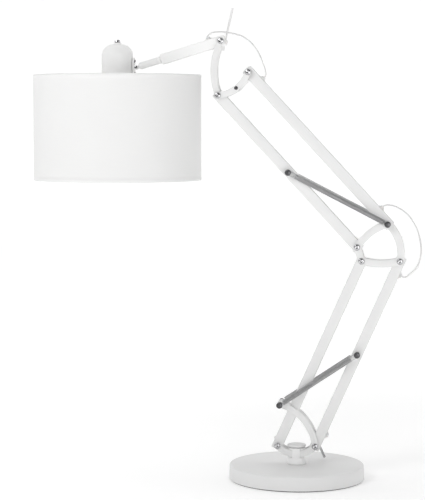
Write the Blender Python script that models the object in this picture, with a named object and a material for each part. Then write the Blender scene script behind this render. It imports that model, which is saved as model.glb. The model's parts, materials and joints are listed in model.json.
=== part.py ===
"""Swing arm desk lamp: a weighted round base, two parallel linkages of square tube, an
elbow frame, tension springs and a drum shade. Metres, +Z up, the front faces -Y. The
origin is on the swivel axis, at the surface that the base stands on."""

import math

import bmesh
import bpy
from mathutils import Matrix, Vector

MM = 0.001
GAP = 0.3 * MM  # between pieces that touch

# ---- The linkage, seen from the front (X to the right, Z up)
BAR = 387 * MM  # between a tube's two pivots
PAIR = 72 * MM  # between the two pivots of a bracket
BASE_PIVOT_HEIGHT = 64.5 * MM
LOWER_LEAN = math.radians(24)  # leans are from the vertical, towards +X
UPPER_LEAN = math.radians(-42.8)
UPPER_PAIR_TILT = math.radians(37.3)
ELBOW_STEP = Vector((-8.4, 26)) * MM  # from the elbow's lower left pivot to its upper left one
HEAD_STEP = Vector((5.3, 102)) * MM  # from the top bracket's left pivot to the head's
HEAD_LEAN = math.radians(-106.6)
ANCHOR = Vector((-31, 143.4)) * MM  # where the lower springs hook on to the base bracket
LOWER_SPRING_AT = 194 * MM  # spring bolts, along their tubes
UPPER_SPRING_AT = 190 * MM


def along(lean):
    """The direction of a bar with this lean, as (x, z)."""
    return Vector((math.sin(lean), math.cos(lean)))


def beside(lean):
    """The direction square to that bar, towards its right."""
    return Vector((math.cos(lean), -math.sin(lean)))


BASE_LEFT = Vector((-PAIR / 2, BASE_PIVOT_HEIGHT))
BASE_RIGHT = Vector((PAIR / 2, BASE_PIVOT_HEIGHT))
ELBOW_LOW_LEFT = BASE_LEFT + along(LOWER_LEAN) * BAR
ELBOW_LOW_RIGHT = BASE_RIGHT + along(LOWER_LEAN) * BAR
ELBOW_UP_LEFT = ELBOW_LOW_LEFT + ELBOW_STEP
UPPER_PAIR = beside(-UPPER_PAIR_TILT) * PAIR
ELBOW_UP_RIGHT = ELBOW_UP_LEFT + UPPER_PAIR
TOP_LEFT = ELBOW_UP_LEFT + along(UPPER_LEAN) * BAR
TOP_RIGHT = TOP_LEFT + UPPER_PAIR
HEAD_PIVOT = TOP_LEFT + HEAD_STEP
LOWER_SPRING_BOLT = BASE_RIGHT + along(LOWER_LEAN) * LOWER_SPRING_AT
UPPER_SPRING_BOLT = ELBOW_UP_LEFT + along(UPPER_LEAN) * UPPER_SPRING_AT

# ---- Tubes, plates and fasteners
TUBE = 20 * MM
TUBE_WALL = 1.5 * MM
TUBE_CORNER = 1.5 * MM
TUBE_END = 7 * MM  # past each pivot
PLATE = 3 * MM
PLATE_DEPTH = 11.2 * MM  # from the middle plane to the plates' inner faces
OUTER_PLATE_DEPTH = PLATE_DEPTH + PLATE + GAP
STRIP = 6 * MM  # half the width of a bracket's strip
ELBOW_STRIP = 6.75 * MM
SHANK = 2.5 * MM
BORE = 2.8 * MM
HEAD_RADIUS = 6.2 * MM
HEAD_HEIGHT = 4 * MM
SPRING_DEPTH = 20 * MM  # from the middle plane to a spring's axis
COIL_RADIUS = 4.5 * MM
WIRE = 0.65 * MM
EYE = COIL_RADIUS - WIRE
HOOK_PLAY = 9 * MM  # straight length of the long hook that slides on its bolt

# ---- Base
BASE_RADIUS = 128 * MM
BASE_TOP = 28.5 * MM
PAD = 1.5 * MM
COVER_WALL = 2 * MM
WEIGHT_RADIUS = 120 * MM
WEIGHT_TOP = 18 * MM
STUD = 5 * MM
POST_FOOT = 17.5 * MM
POST_RADIUS = 16.3 * MM
POST_TOP = 60 * MM
CAP_RADIUS = 18 * MM
SMILE_DIP = 16 * MM

# ---- Head
HEAD_TUBE_END = 119.7 * MM  # distances from the head pivot, along the head arm
FERRULE_START = 121.5 * MM
FERRULE_END = 164.5 * MM
NECK_AT = 170 * MM
FERRULE = 7 * MM
SPIGOT = 5 * MM
NECK = HEAD_PIVOT + along(HEAD_LEAN) * NECK_AT
SHADE_AXIS = NECK.x - 37 * MM
SHADE_RADIUS = 160 * MM
SHADE_TOP = 767 * MM
SHADE_HEIGHT = 200 * MM
SHADE_SKIN = 1.2 * MM
RING_WIRE = 1.5 * MM
LAMP_CAP_RADIUS = 30 * MM
LAMP_CAP_TOP = 825 * MM
LAMP_CAP_BOTTOM = 746 * MM
GALLERY_HEIGHT = 742 * MM  # middle of the ring that carries the shade

# ---- Leads: glands by distance along their tubes, and the routes of the two free loops
CORD = 1.7 * MM
GLAND_MOUTH = 14.5 * MM  # from the tube's middle
MAINS_GLAND_AT = 27.7 * MM
LOWER_GLAND_AT = 361.5 * MM
UPPER_GLAND_AT = 30 * MM
TOP_GLAND_AT = 360 * MM
HEAD_GLAND_AT = 23 * MM
ELBOW_ROUTE_MM = [(205, 388.8), (214, 395.8), (222.6, 404.5), (228.7, 416.4), (231.9, 432), (231.9, 444),
                  (229.4, 460.7), (224.4, 477.5), (217, 491.7), (208.8, 503.4), (197.5, 513), (186.5, 519.1),
                  (177.5, 521.9), (169, 523)]
HEAD_ROUTE_MM = [(-60.6, 768.5), (-62, 776), (-65.2, 785.5), (-69.6, 797.4), (-75.6, 809.5), (-83.8, 821),
                 (-92.8, 830.2), (-103, 837.2), (-115, 842), (-127.6, 845), (-143.6, 847), (-155, 847),
                 (-163.5, 845.4)]
ELBOW_SPLIT = 7  # how many points of each route lie in its lower half
HEAD_SPLIT = 7

ROUND = 10  # sides of a small round piece


# ---- Scene, materials and bodies

for leftover in list(bpy.data.objects):
    bpy.data.objects.remove(leftover)


def finish(name, colour, roughness, metallic=0.0):
    material = bpy.data.materials.new(name)
    material.use_nodes = True
    surface = material.node_tree.nodes["Principled BSDF"]
    surface.inputs["Base Color"].default_value = (*colour, 1)
    surface.inputs["Roughness"].default_value = roughness
    surface.inputs["Metallic"].default_value = metallic
    material.diffuse_color = (*colour, 1)
    return material


WHITE_PAINT = finish("white_paint", (0.80, 0.80, 0.80), 0.45)
CHROME = finish("chrome", (0.72, 0.72, 0.73), 0.10, 1.0)
DARK_STEEL = finish("dark_steel", (0.12, 0.12, 0.13), 0.30, 1.0)
SPRING_STEEL = finish("spring_steel", (0.42, 0.42, 0.43), 0.30, 1.0)
IRON = finish("iron", (0.10, 0.10, 0.10), 0.70, 0.6)
PAD_FELT = finish("pad_felt", (0.05, 0.05, 0.05), 0.95)
NYLON = finish("white_nylon", (0.78, 0.78, 0.78), 0.40)
CORD_WHITE = finish("white_cord", (0.78, 0.78, 0.77), 0.50)
SHADE_FABRIC = finish("white_fabric", (0.86, 0.86, 0.86), 0.85)
CERAMIC = finish("white_ceramic", (0.75, 0.74, 0.71), 0.35)
BULB_GLASS = finish("opal_glass", (0.90, 0.90, 0.88), 0.15)


def body(name, point, lean=0.0, parent=None):
    """An empty on a joint's axis. Its Z runs along a bar with this lean, and its X to the right of it."""
    name = f"{name}_axis"
    empty = bpy.data.objects.new(name, None)
    bpy.context.collection.objects.link(empty)
    empty.empty_display_size = 20 * MM
    place = Matrix.Translation((point.x, 0, point.y)) @ Matrix.Rotation(lean, 4, "Y")
    if parent:
        empty.parent = parent
        place = PLACES[parent.name].inverted() @ place
    empty.matrix_basis = place
    PLACES[name] = PLACES[parent.name] @ place if parent else place
    return empty


PLACES = {}
BASE = body("base_body", Vector((0, 0)))
TURNTABLE = body("turntable", Vector((0, 0)), parent=BASE)
LOWER_OUTER = body("lower_outer_arm", BASE_RIGHT, LOWER_LEAN, TURNTABLE)
LOWER_INNER = body("lower_inner_arm", BASE_LEFT, LOWER_LEAN, TURNTABLE)
ELBOW = body("elbow", ELBOW_LOW_RIGHT, parent=LOWER_OUTER)
UPPER_OUTER = body("upper_outer_arm", ELBOW_UP_RIGHT, UPPER_LEAN, ELBOW)
UPPER_INNER = body("upper_inner_arm", ELBOW_UP_LEFT, UPPER_LEAN, ELBOW)
TOP_BRACKET = body("top_bracket", TOP_RIGHT, parent=UPPER_OUTER)
HEAD_ARM = body("head_arm", HEAD_PIVOT, HEAD_LEAN, TOP_BRACKET)
HEAD_ROD = body("head_rod", HEAD_PIVOT, HEAD_LEAN, HEAD_ARM)
SHADE_HEAD = body("shade_head", NECK, parent=HEAD_ROD)
HEAD_LEVER = body("head_lever", HEAD_PIVOT, parent=TOP_BRACKET)
BASE_LEVER = body("base_lever", BASE_RIGHT, parent=TURNTABLE)


def lean_of(step):
    return math.atan2(step.x, step.y)


LOWER_SPRING = body("lower_spring", ANCHOR, lean_of(LOWER_SPRING_BOLT - ANCHOR), TURNTABLE)
LOWER_SPRING_END = body(
    "lower_spring_end", LOWER_SPRING_BOLT, lean_of(LOWER_SPRING_BOLT - ANCHOR), LOWER_SPRING
)
UPPER_SPRING = body("upper_spring", ELBOW_UP_RIGHT, lean_of(UPPER_SPRING_BOLT - ELBOW_UP_RIGHT), ELBOW)
UPPER_SPRING_END = body(
    "upper_spring_end", UPPER_SPRING_BOLT, lean_of(UPPER_SPRING_BOLT - ELBOW_UP_RIGHT), UPPER_SPRING
)


# ---- Shapes: each returns a bmesh, in its body's own axes


def turned(profile, closed=False, segments=ROUND):
    """A profile of (radius, height) pairs turned about Z. A closed profile makes a ring."""
    mesh = bmesh.new()
    points = [mesh.verts.new((radius, 0, height)) for radius, height in profile]
    ends = points[1:] + points[:1] if closed else points[1:]
    edges = [mesh.edges.new(pair) for pair in zip(points, ends)]
    bmesh.ops.spin(
        mesh,
        geom=points + edges,
        axis=(0, 0, 1),
        cent=(0, 0, 0),
        angle=math.tau,
        steps=segments,
        use_merge=True,
    )
    bmesh.ops.remove_doubles(mesh, verts=mesh.verts, dist=1e-6)
    bmesh.ops.recalc_face_normals(mesh, faces=mesh.faces)
    return mesh


def rod(radius, low, high, segments=ROUND):
    return turned([(0, low), (radius, low), (radius, high), (0, high)], segments=segments)


def ring(inner, outer, low, high, segments=ROUND):
    return turned([(inner, low), (outer, low), (outer, high), (inner, high)], True, segments)


def box(low, high):
    mesh = bmesh.new()
    size = Vector(high) - Vector(low)
    bmesh.ops.create_cube(mesh, size=1)
    bmesh.ops.transform(mesh, verts=mesh.verts, matrix=Matrix.Diagonal((*size, 1)))
    bmesh.ops.translate(mesh, verts=mesh.verts, vec=(Vector(low) + Vector(high)) / 2)
    return mesh


def circle(centre, radius, count=10):
    """Points of a circle in the XZ plane, as (x, z)."""
    turns = (math.tau * i / count for i in range(count))
    return [Vector(centre) + Vector((math.cos(t), math.sin(t))) * radius for t in turns]


def sheet(outline, holes, near, far):
    """A flat plate with this outline and these holes, in the XZ plane, between two depths along Y."""
    mesh = bmesh.new()
    edges = []
    for loop in [outline, *holes]:
        points = [mesh.verts.new((point[0], near, point[1])) for point in loop]
        edges += [mesh.edges.new(pair) for pair in zip(points, points[1:] + points[:1])]
    bmesh.ops.triangle_fill(mesh, use_beauty=True, use_dissolve=False, edges=edges)
    grown = bmesh.ops.extrude_face_region(mesh, geom=mesh.faces[:])["geom"]
    corners = [item for item in grown if isinstance(item, bmesh.types.BMVert)]
    bmesh.ops.translate(mesh, verts=corners, vec=(0, far - near, 0))
    bmesh.ops.recalc_face_normals(mesh, faces=mesh.faces)
    return mesh


def rounded_square(size, corner, steps=1):
    """Points of a square with round corners, anticlockwise."""
    points = []
    for quarter in range(4):
        side = Matrix.Rotation(math.pi / 2 * quarter, 2)
        for i in range(steps + 1):
            turn = math.pi / 2 * i / steps
            corner_point = Vector((size / 2 - corner, size / 2 - corner))
            points.append(side @ (corner_point + Vector((math.cos(turn), math.sin(turn))) * corner))
    return points


def square_tube(low, high):
    """A square tube along Z, open at both ends."""
    mesh = bmesh.new()
    outer = rounded_square(TUBE, TUBE_CORNER)
    inner = rounded_square(TUBE - 2 * TUBE_WALL, TUBE_WALL / 2)
    loops = [
        [mesh.verts.new((x, y, height)) for x, y in loop]
        for loop, height in ((outer, low), (outer, high), (inner, high), (inner, low))
    ]
    for here, there in zip(loops, loops[1:] + loops[:1]):
        for i in range(len(here)):
            j = (i + 1) % len(here)
            mesh.faces.new((here[i], here[j], there[j], there[i]))
    bmesh.ops.recalc_face_normals(mesh, faces=mesh.faces)
    return mesh


def moved(mesh, place):
    bmesh.ops.transform(mesh, verts=mesh.verts, matrix=place)
    return mesh


def at(x, z, y=0.0):
    return Matrix.Translation((x, y, z))


ALONG_Y = Matrix.Rotation(-math.pi / 2, 4, "X")  # turns +Z to +Y
ALONG_X = Matrix.Rotation(math.pi / 2, 4, "Y")  # turns +Z to +X
FRONT_BACK = Matrix.Diagonal((1, -1, 1, 1))


def mirrored(mesh):
    """The same shape on the other side of the middle plane."""
    other = mesh.copy()
    bmesh.ops.transform(other, verts=other.verts, matrix=FRONT_BACK)
    bmesh.ops.reverse_faces(other, faces=other.faces)
    return other


def to_mesh(name, shapes):
    """One mesh of several bmeshes."""
    data = bpy.data.meshes.new(name)
    whole = bmesh.new()
    for shape in shapes:
        shape.to_mesh(data)
        shape.free()
        whole.from_mesh(data)
    whole.to_mesh(data)
    whole.free()
    data.shade_smooth()
    data.set_sharp_from_angle(angle=math.radians(35))
    return data


def show(name, owner, data, material):
    """An object with this data that rides on a body's empty."""
    piece = bpy.data.objects.new(name, data)
    bpy.context.collection.objects.link(piece)
    piece.parent = owner
    data.materials.append(material)
    return piece


def node(name, owner, material, shape):
    """A named sub-part, one solid."""
    return show(name, owner, to_mesh(name, [shape]), material)


def front_and_back(name, owner, material, front):
    """The same sub-part twice, in front of the linkage and behind it."""
    back = mirrored(front)
    return node(f"{name}_front", owner, material, front), node(f"{name}_back", owner, material, back)


def combine(piece, operation, *shapes):
    """A Boolean modifier with a hidden tool made of these shapes, which stand clear of each other."""
    name = f"{piece.name}_{operation.lower()}"
    tool = show(name, piece.parent, to_mesh(name, shapes), piece.data.materials[0])
    tool.hide_render = True
    tool.display_type = "WIRE"
    modifier = piece.modifiers.new(operation.title(), "BOOLEAN")
    modifier.operation = operation
    modifier.solver = "EXACT"
    modifier.object = tool


# ---- Outlines in the XZ plane


def arc(start, end, rise, steps=8):
    """Points from start to end on a circle's arc whose middle stands this far left of the straight line."""
    chord = end - start
    left = Vector((-chord.y, chord.x)).normalized()
    radius = (chord.length_squared / 4 + rise**2) / (2 * rise)
    centre = (start + end) / 2 + left * (rise - radius)
    sweep = -2 * math.asin(chord.length / 2 / radius)
    return [centre + Matrix.Rotation(sweep * i / steps, 2) @ (start - centre) for i in range(steps + 1)]


def distance_to(point, path):
    """From a point to the nearest of a closed path's straight pieces."""
    nearest = math.inf
    for start, end in zip(path, path[1:] + path[:1]):
        step = end - start
        share = 0 if step.length_squared == 0 else (point - start).dot(step) / step.length_squared
        nearest = min(nearest, (point - start - step * min(1, max(0, share))).length)
    return nearest


def grown(path, distance, cap_steps=6):
    """An anticlockwise closed path moved outwards, with round corners. Nearer points are dropped."""
    points = []
    for before, here, after in zip(path[-1:] + path[:-1], path, path[1:] + path[:1]):
        came, goes = (here - before).normalized(), (after - here).normalized()
        turn = math.atan2(came.cross(goes), came.dot(goes))
        if came.dot(goes) < -0.999:
            turn = math.pi
        out = Vector((came.y, -came.x)) * distance
        if turn > 0:
            steps = max(1, round(turn / math.pi * cap_steps))
            points += [here + Matrix.Rotation(turn * i / steps, 2) @ out for i in range(steps + 1)]
        else:
            points.append(here + Matrix.Rotation(turn / 2, 2) @ out / math.cos(turn / 2))
    return [point for point in points if distance_to(point, path) > distance * 0.985]


def spaced(points, least=0.4 * MM):
    """The same closed outline without points that nearly coincide."""
    kept = [points[0]]
    for point in points[1:]:
        if (point - kept[-1]).length > least and (point - points[0]).length > least:
            kept.append(point)
    return kept


def strip(centreline, half_width):
    """The outline of a strip of constant width with round ends."""
    return spaced(grown(centreline + centreline[-2:0:-1], half_width))


def shifted(points, origin):
    return [point - origin for point in points]


# ---- Fasteners, along Y about the origin of the shape. Depths are distances from the middle plane

SEAT = PLATE_DEPTH + PLATE + GAP  # a bolt head's depth on the inner plates
OUTER_SEAT = OUTER_PLATE_DEPTH + PLATE + GAP
WASHER = TUBE / 2 + GAP


def head_profile(seat):
    """A domed button head, from its rim to its top."""
    return [
        (HEAD_RADIUS, seat),
        (HEAD_RADIUS, seat + HEAD_HEIGHT * 0.15),
        (HEAD_RADIUS * 0.80, seat + HEAD_HEIGHT * 0.66),
        (HEAD_RADIUS * 0.45, seat + HEAD_HEIGHT * 0.94),
        (0, seat + HEAD_HEIGHT),
    ]


def bolt_side(seat, collar_end, head):
    """Half of a through bolt: the washer beside the tube, the shank through the plates, then the head."""
    washer = [(SHANK, WASHER), (HEAD_RADIUS, WASHER), (HEAD_RADIUS, collar_end)]
    return [*washer, (SHANK, collar_end), (SHANK, seat), *head]


def both_sides(front, back):
    """A profile from the front face to the back face, of two halves that each run outwards."""
    return [(radius, -depth) for radius, depth in reversed(front)] + back


def pivot_bolt(name, owner, point, seat=SEAT, collar_end=PLATE_DEPTH - GAP, nut=True):
    """A button-head bolt through both plates and the tube between them, with its washers and its nut."""
    tail = [(SHANK, seat + HEAD_HEIGHT), (0, seat + HEAD_HEIGHT)]
    profile = both_sides(bolt_side(seat, collar_end, head_profile(seat)), bolt_side(seat, collar_end, tail))
    place = at(*point) @ ALONG_Y
    bolt = node(name, owner, CHROME, moved(turned(profile), place))
    if nut:
        combine(bolt, "UNION", moved(rod(HEAD_RADIUS, seat, seat + HEAD_HEIGHT - 0.8 * MM, 6), place))


COLLAR = 4.5 * MM
SPRING_HEAD = 28 * MM  # depth of a spring bolt's outer face


def spring_seat_profile(seat):
    """From a seat outwards: a collar, a groove for the spring's eye, a collar and a slotted head."""
    groove = 1.05 * MM
    head = SPRING_HEAD - 3.2 * MM
    return [
        (COLLAR, seat),
        (COLLAR, SPRING_DEPTH - groove),
        (SHANK, SPRING_DEPTH - groove),
        (SHANK, SPRING_DEPTH + groove),
        (COLLAR, SPRING_DEPTH + groove),
        (COLLAR, head),
        (HEAD_RADIUS * 0.92, head),
        (HEAD_RADIUS * 0.92, SPRING_HEAD - 1 * MM),
        (HEAD_RADIUS * 0.6, SPRING_HEAD),
        (0, SPRING_HEAD),
    ]


def through_spring_bolt(name, owner, point, side):
    """A long bolt that carries a spring in front and another behind."""
    node(name, owner, DARK_STEEL, moved(turned(both_sides(side, side)), at(*point) @ ALONG_Y))


def gland(name, owner, distance):
    """A snap gland on a tube's right face: its collar outside, its stem through the wall."""
    stem, flange, bore = 4 * MM, 6.3 * MM, CORD + GAP
    face = TUBE / 2 + GAP
    profile = [
        (bore, TUBE / 2 - 2 * TUBE_WALL),
        (stem, TUBE / 2 - 2 * TUBE_WALL),
        (stem, face),
        (flange, face),
        (flange, face + 1.2 * MM),
        (stem + 0.2 * MM, GLAND_MOUTH),
        (bore, GLAND_MOUTH),
    ]
    return node(name, owner, NYLON, moved(turned(profile, True), at(0, distance) @ ALONG_X))


# ---- Base


def make_base():
    low = PAD + GAP
    edge = 3 * MM
    hole = STUD + GAP
    cover = [(hole, BASE_TOP), (BASE_RADIUS - edge, BASE_TOP)]
    for i in range(1, 5):
        turn = math.pi / 2 * i / 4
        cover.append((BASE_RADIUS - edge * (1 - math.sin(turn)), BASE_TOP - edge * (1 - math.cos(turn))))
    cover += [
        (BASE_RADIUS + 0.5 * MM, low),
        (BASE_RADIUS - COVER_WALL, low),
        (BASE_RADIUS - COVER_WALL, BASE_TOP - edge),
        (BASE_RADIUS - edge - 1 * MM, BASE_TOP - COVER_WALL),
        (hole, BASE_TOP - COVER_WALL),
    ]
    node("base_cover", BASE, WHITE_PAINT, turned(cover, True, 40))
    recess, recess_top = 20 * MM, 10 * MM
    weight = [
        (hole, WEIGHT_TOP),
        (WEIGHT_RADIUS, WEIGHT_TOP),
        (WEIGHT_RADIUS, low),
        (recess, low),
        (recess, recess_top),
        (hole, recess_top),
    ]
    node("base_weight", BASE, IRON, turned(weight, True, 24))
    node("base_pad", BASE, PAD_FELT, rod(BASE_RADIUS - 1.5 * MM, 0, PAD, 40))


def make_turntable():
    low = BASE_TOP + GAP
    post = [
        (0, 3.5 * MM),
        (8 * MM, 3.5 * MM),
        (8 * MM, 8 * MM),
        (14 * MM, 8 * MM),
        (14 * MM, 9.7 * MM),
        (STUD, 9.7 * MM),
        (STUD, low),
        (POST_FOOT - 0.5 * MM, low),
        (POST_FOOT, low + 0.5 * MM),
        (POST_FOOT - 0.3 * MM, low + 6 * MM),
        (POST_RADIUS + 0.3 * MM, low + 11 * MM),
        (POST_RADIUS, low + 12 * MM),
        (POST_RADIUS, POST_TOP),
        (0, POST_TOP),
    ]
    post = node("swivel_post", TURNTABLE, WHITE_PAINT, turned(post, segments=20))
    flat_low = BASE_PIVOT_HEIGHT - SMILE_DIP - STRIP - 1 * MM
    reach = 2 * POST_RADIUS
    # The plates stand in two slots across the post.
    slot_end = PLATE_DEPTH + PLATE + GAP
    slot = box((-reach, PLATE_DEPTH - GAP, flat_low), (reach, slot_end, POST_TOP + reach))
    other = mirrored(slot)
    combine(post, "DIFFERENCE", slot, other)
    rim = POST_TOP + GAP
    cap = [
        (0, rim),
        (12 * MM, rim),
        (17 * MM, rim + 1.2 * MM),
        (CAP_RADIUS, rim + 3 * MM),
        (CAP_RADIUS - 0.5 * MM, rim + 5 * MM),
        (12 * MM, rim + 7.3 * MM),
        (6 * MM, rim + 8.3 * MM),
        (0, rim + 8.7 * MM),
    ]
    node("swivel_cap", TURNTABLE, WHITE_PAINT, turned(cap, segments=20))

    smile = arc(BASE_LEFT, BASE_RIGHT, -SMILE_DIP)
    crescent = arc(BASE_RIGHT, ANCHOR, -16 * MM)
    outline = strip(smile + crescent[1:], STRIP)
    holes = [circle(point, BORE) for point in (BASE_LEFT, BASE_RIGHT, ANCHOR)]
    plate = sheet(outline, holes, -PLATE_DEPTH - PLATE, -PLATE_DEPTH)
    front_and_back("base_plate", TURNTABLE, WHITE_PAINT, plate)
    pivot_bolt("base_left_bolt", TURNTABLE, BASE_LEFT)
    pivot_bolt("base_right_bolt", TURNTABLE, BASE_RIGHT, nut=False)
    root = PLATE_DEPTH + 0.1 * MM
    profile = [(0, root), (SHANK, root), (SHANK, SEAT), *spring_seat_profile(SEAT)]
    anchor = moved(turned(profile), at(*ANCHOR) @ ALONG_Y)
    front_and_back("lower_anchor_bolt", TURNTABLE, DARK_STEEL, mirrored(anchor))
    anchor.free()


# ---- Tubes


def make_tube(name, owner, cross_holes, glands=()):
    """A square tube bored across at its pivots and spring bolt, and on its right face for its glands."""
    tube = node(name, owner, WHITE_PAINT, square_tube(-TUBE_END, BAR + TUBE_END))
    holes = [moved(rod(3.2 * MM, -TUBE, TUBE, 16), at(0, height) @ ALONG_Y) for height in cross_holes]
    holes += [moved(rod(4.3 * MM, TUBE / 4, TUBE, 16), at(0, height) @ ALONG_X) for height in glands]
    combine(tube, "DIFFERENCE", *holes)


def make_tubes():
    make_tube("lower_outer_tube", LOWER_OUTER, (0, LOWER_SPRING_AT, BAR), (MAINS_GLAND_AT, LOWER_GLAND_AT))
    make_tube("lower_inner_tube", LOWER_INNER, (0, BAR))
    make_tube("upper_outer_tube", UPPER_OUTER, (0, BAR), (UPPER_GLAND_AT, TOP_GLAND_AT))
    make_tube("upper_inner_tube", UPPER_INNER, (0, UPPER_SPRING_AT, BAR))
    gland("mains_gland", LOWER_OUTER, MAINS_GLAND_AT)
    gland("lower_gland", LOWER_OUTER, LOWER_GLAND_AT)
    gland("upper_gland", UPPER_OUTER, UPPER_GLAND_AT)
    gland("top_gland", UPPER_OUTER, TOP_GLAND_AT)
    side = [(SHANK, WASHER), *spring_seat_profile(WASHER)]
    through_spring_bolt("lower_spring_bolt", LOWER_OUTER, (0, LOWER_SPRING_AT), side)
    through_spring_bolt("upper_spring_bolt", UPPER_INNER, (0, UPPER_SPRING_AT), side)


# ---- Elbow and top bracket


def make_elbow():
    loop = arc(ELBOW_LOW_RIGHT, ELBOW_UP_RIGHT, -9.5 * MM)[:-1]
    loop += arc(ELBOW_UP_RIGHT, ELBOW_UP_LEFT, -6.4 * MM)[:-1]
    loop += [ELBOW_UP_LEFT]
    loop += arc(ELBOW_LOW_LEFT, ELBOW_LOW_RIGHT, -5 * MM)[:-1]
    loop = shifted(loop, ELBOW_LOW_RIGHT)
    outline = spaced(grown(loop, ELBOW_STRIP))
    corner = 7 * MM
    core = spaced(grown(loop[::-1], ELBOW_STRIP + corner))[::-1]
    opening = spaced(grown(core, corner))
    pivots = shifted((ELBOW_LOW_LEFT, ELBOW_LOW_RIGHT, ELBOW_UP_LEFT, ELBOW_UP_RIGHT), ELBOW_LOW_RIGHT)
    holes = [circle(point, BORE) for point in pivots]
    plate = sheet(outline, [opening, *holes], -PLATE_DEPTH - PLATE, -PLATE_DEPTH)
    front_and_back("elbow_plate", ELBOW, WHITE_PAINT, plate)
    for name, point in zip(("low_left", "low_right", "up_left"), pivots):
        pivot_bolt(f"elbow_{name}_bolt", ELBOW, point)
    side = bolt_side(SEAT, PLATE_DEPTH - GAP, spring_seat_profile(SEAT))
    through_spring_bolt("elbow_spring_bolt", ELBOW, pivots[3], side)


def make_top_bracket():
    left, right, head = shifted((TOP_LEFT, TOP_RIGHT, HEAD_PIVOT), TOP_RIGHT)
    holes = [circle(head, BORE), circle(left, BORE)]
    crescent = sheet(strip(arc(head, left, -11 * MM), STRIP), holes, -PLATE_DEPTH - PLATE, -PLATE_DEPTH)
    front_and_back("head_plate", TOP_BRACKET, WHITE_PAINT, crescent)
    curve = arc(left, right, -10.5 * MM)
    middle = curve[len(curve) // 2]
    holes = [circle(point, BORE) for point in (left, right, middle)]
    bracket = sheet(strip(curve, STRIP), holes, -OUTER_PLATE_DEPTH - PLATE, -OUTER_PLATE_DEPTH)
    front_and_back("top_plate", TOP_BRACKET, WHITE_PAINT, bracket)
    pivot_bolt("top_left_bolt", TOP_BRACKET, left, OUTER_SEAT)
    # The head plates don't reach the right pivot, so a thicker washer fills their place.
    pivot_bolt("top_right_bolt", TOP_BRACKET, right, OUTER_SEAT, OUTER_PLATE_DEPTH - GAP)
    pivot_bolt("head_pivot_bolt", TOP_BRACKET, head, nut=False)
    # A sleeve with a screw in each end keeps the two outer plates apart at their middle.
    sleeve, small = 4 * MM, 3.6 * MM
    end = OUTER_PLATE_DEPTH - GAP
    side = [(sleeve, end), (SHANK, end), (SHANK, OUTER_SEAT), (small, OUTER_SEAT)]
    side += [(small * 0.8, OUTER_SEAT + 1.6 * MM), (0, OUTER_SEAT + 2 * MM)]
    node("top_sleeve", TOP_BRACKET, DARK_STEEL, moved(turned(both_sides(side, side)), at(*middle) @ ALONG_Y))


# ---- Clamp levers, behind the linkage

LEVER_DEPTH = 46 * MM
HUB_START = PLATE_DEPTH + PLATE + 2 * GAP


def lever(name, owner, material, hub_radius, lean, reach, tail):
    """A turned hub on a pivot's axis, with a rod through it."""
    blind = HUB_START + 12 * MM
    end = LEVER_DEPTH + 6 * MM
    waist = hub_radius - 1 * MM
    hub = [(0, blind), (BORE, blind), (BORE, HUB_START), (hub_radius, HUB_START)]
    hub += [(hub_radius, end - 22 * MM), (waist, end - 18 * MM), (waist, end - 1 * MM)]
    hub += [(waist - 1 * MM, end), (0, end)]
    piece = node(name, owner, material, moved(turned(hub), ALONG_Y))
    bar = [(0, -tail), (2.9 * MM, -tail + 0.6 * MM), (3 * MM, -tail + 4 * MM), (2.4 * MM, -tail + 6 * MM)]
    bar += [(2.5 * MM, reach - 1.2 * MM), (1.6 * MM, reach - 0.3 * MM), (0, reach)]
    place = at(0, 0, LEVER_DEPTH) @ Matrix.Rotation(lean, 4, "Y")
    combine(piece, "UNION", moved(turned(bar, segments=16), place))


def make_levers():
    lever("head_clamp_lever", HEAD_LEVER, WHITE_PAINT, 6.5 * MM, math.radians(13.3), 66 * MM, 17 * MM)
    lever("base_clamp_lever", BASE_LEVER, CHROME, 6 * MM, math.radians(156), 35.5 * MM, 9 * MM)


# ---- Head


def make_head_arm():
    tube = node("head_arm_tube", HEAD_ARM, WHITE_PAINT, square_tube(-TUBE_END, HEAD_TUBE_END))
    pivot_hole = moved(rod(3.2 * MM, -TUBE, TUBE, 16), ALONG_Y)
    gland_hole = moved(rod(4.3 * MM, TUBE / 4, TUBE, 16), at(0, HEAD_GLAND_AT) @ ALONG_X)
    combine(tube, "DIFFERENCE", pivot_hole, gland_hole)
    gland("head_gland", HEAD_ARM, HEAD_GLAND_AT)
    outline = rounded_square(TUBE - 2 * (TUBE_WALL + GAP), TUBE_WALL)
    bore = circle((0, 0), SPIGOT + GAP, ROUND)
    sleeve = sheet(outline, [bore], HEAD_TUBE_END - 25 * MM, HEAD_TUBE_END - GAP)
    node("head_arm_sleeve", HEAD_ARM, NYLON, moved(sleeve, ALONG_Y.inverted()))


TONGUE = 3.1 * MM


def make_head_rod():
    end = FERRULE_END
    profile = [
        (0, HEAD_TUBE_END - 24 * MM),
        (SPIGOT, HEAD_TUBE_END - 24 * MM),
        (SPIGOT, FERRULE_START),
        (FERRULE - 0.4 * MM, FERRULE_START),
        (FERRULE, FERRULE_START + 0.6 * MM),
        (FERRULE, FERRULE_START + 4.5 * MM),
        (FERRULE - 0.6 * MM, FERRULE_START + 5 * MM),
        (FERRULE - 0.6 * MM, FERRULE_START + 6 * MM),
        (FERRULE, FERRULE_START + 6.5 * MM),
        (FERRULE, end - 1.5 * MM),
        (FERRULE - 1.5 * MM, end),
        (0, end),
    ]
    ferrule = node("head_rod", HEAD_ROD, WHITE_PAINT, turned(profile))
    turns = [math.pi * i / 8 for i in range(9)]
    round_end = [Vector((math.cos(t), math.sin(t))) * TONGUE + Vector((0, NECK_AT)) for t in turns]
    outline = [Vector((-TONGUE, end - 3 * MM)), Vector((TONGUE, end - 3 * MM)), *round_end]
    combine(ferrule, "UNION", sheet(outline, [circle((0, NECK_AT), 1.8 * MM, 12)], -TONGUE, TONGUE))


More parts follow.
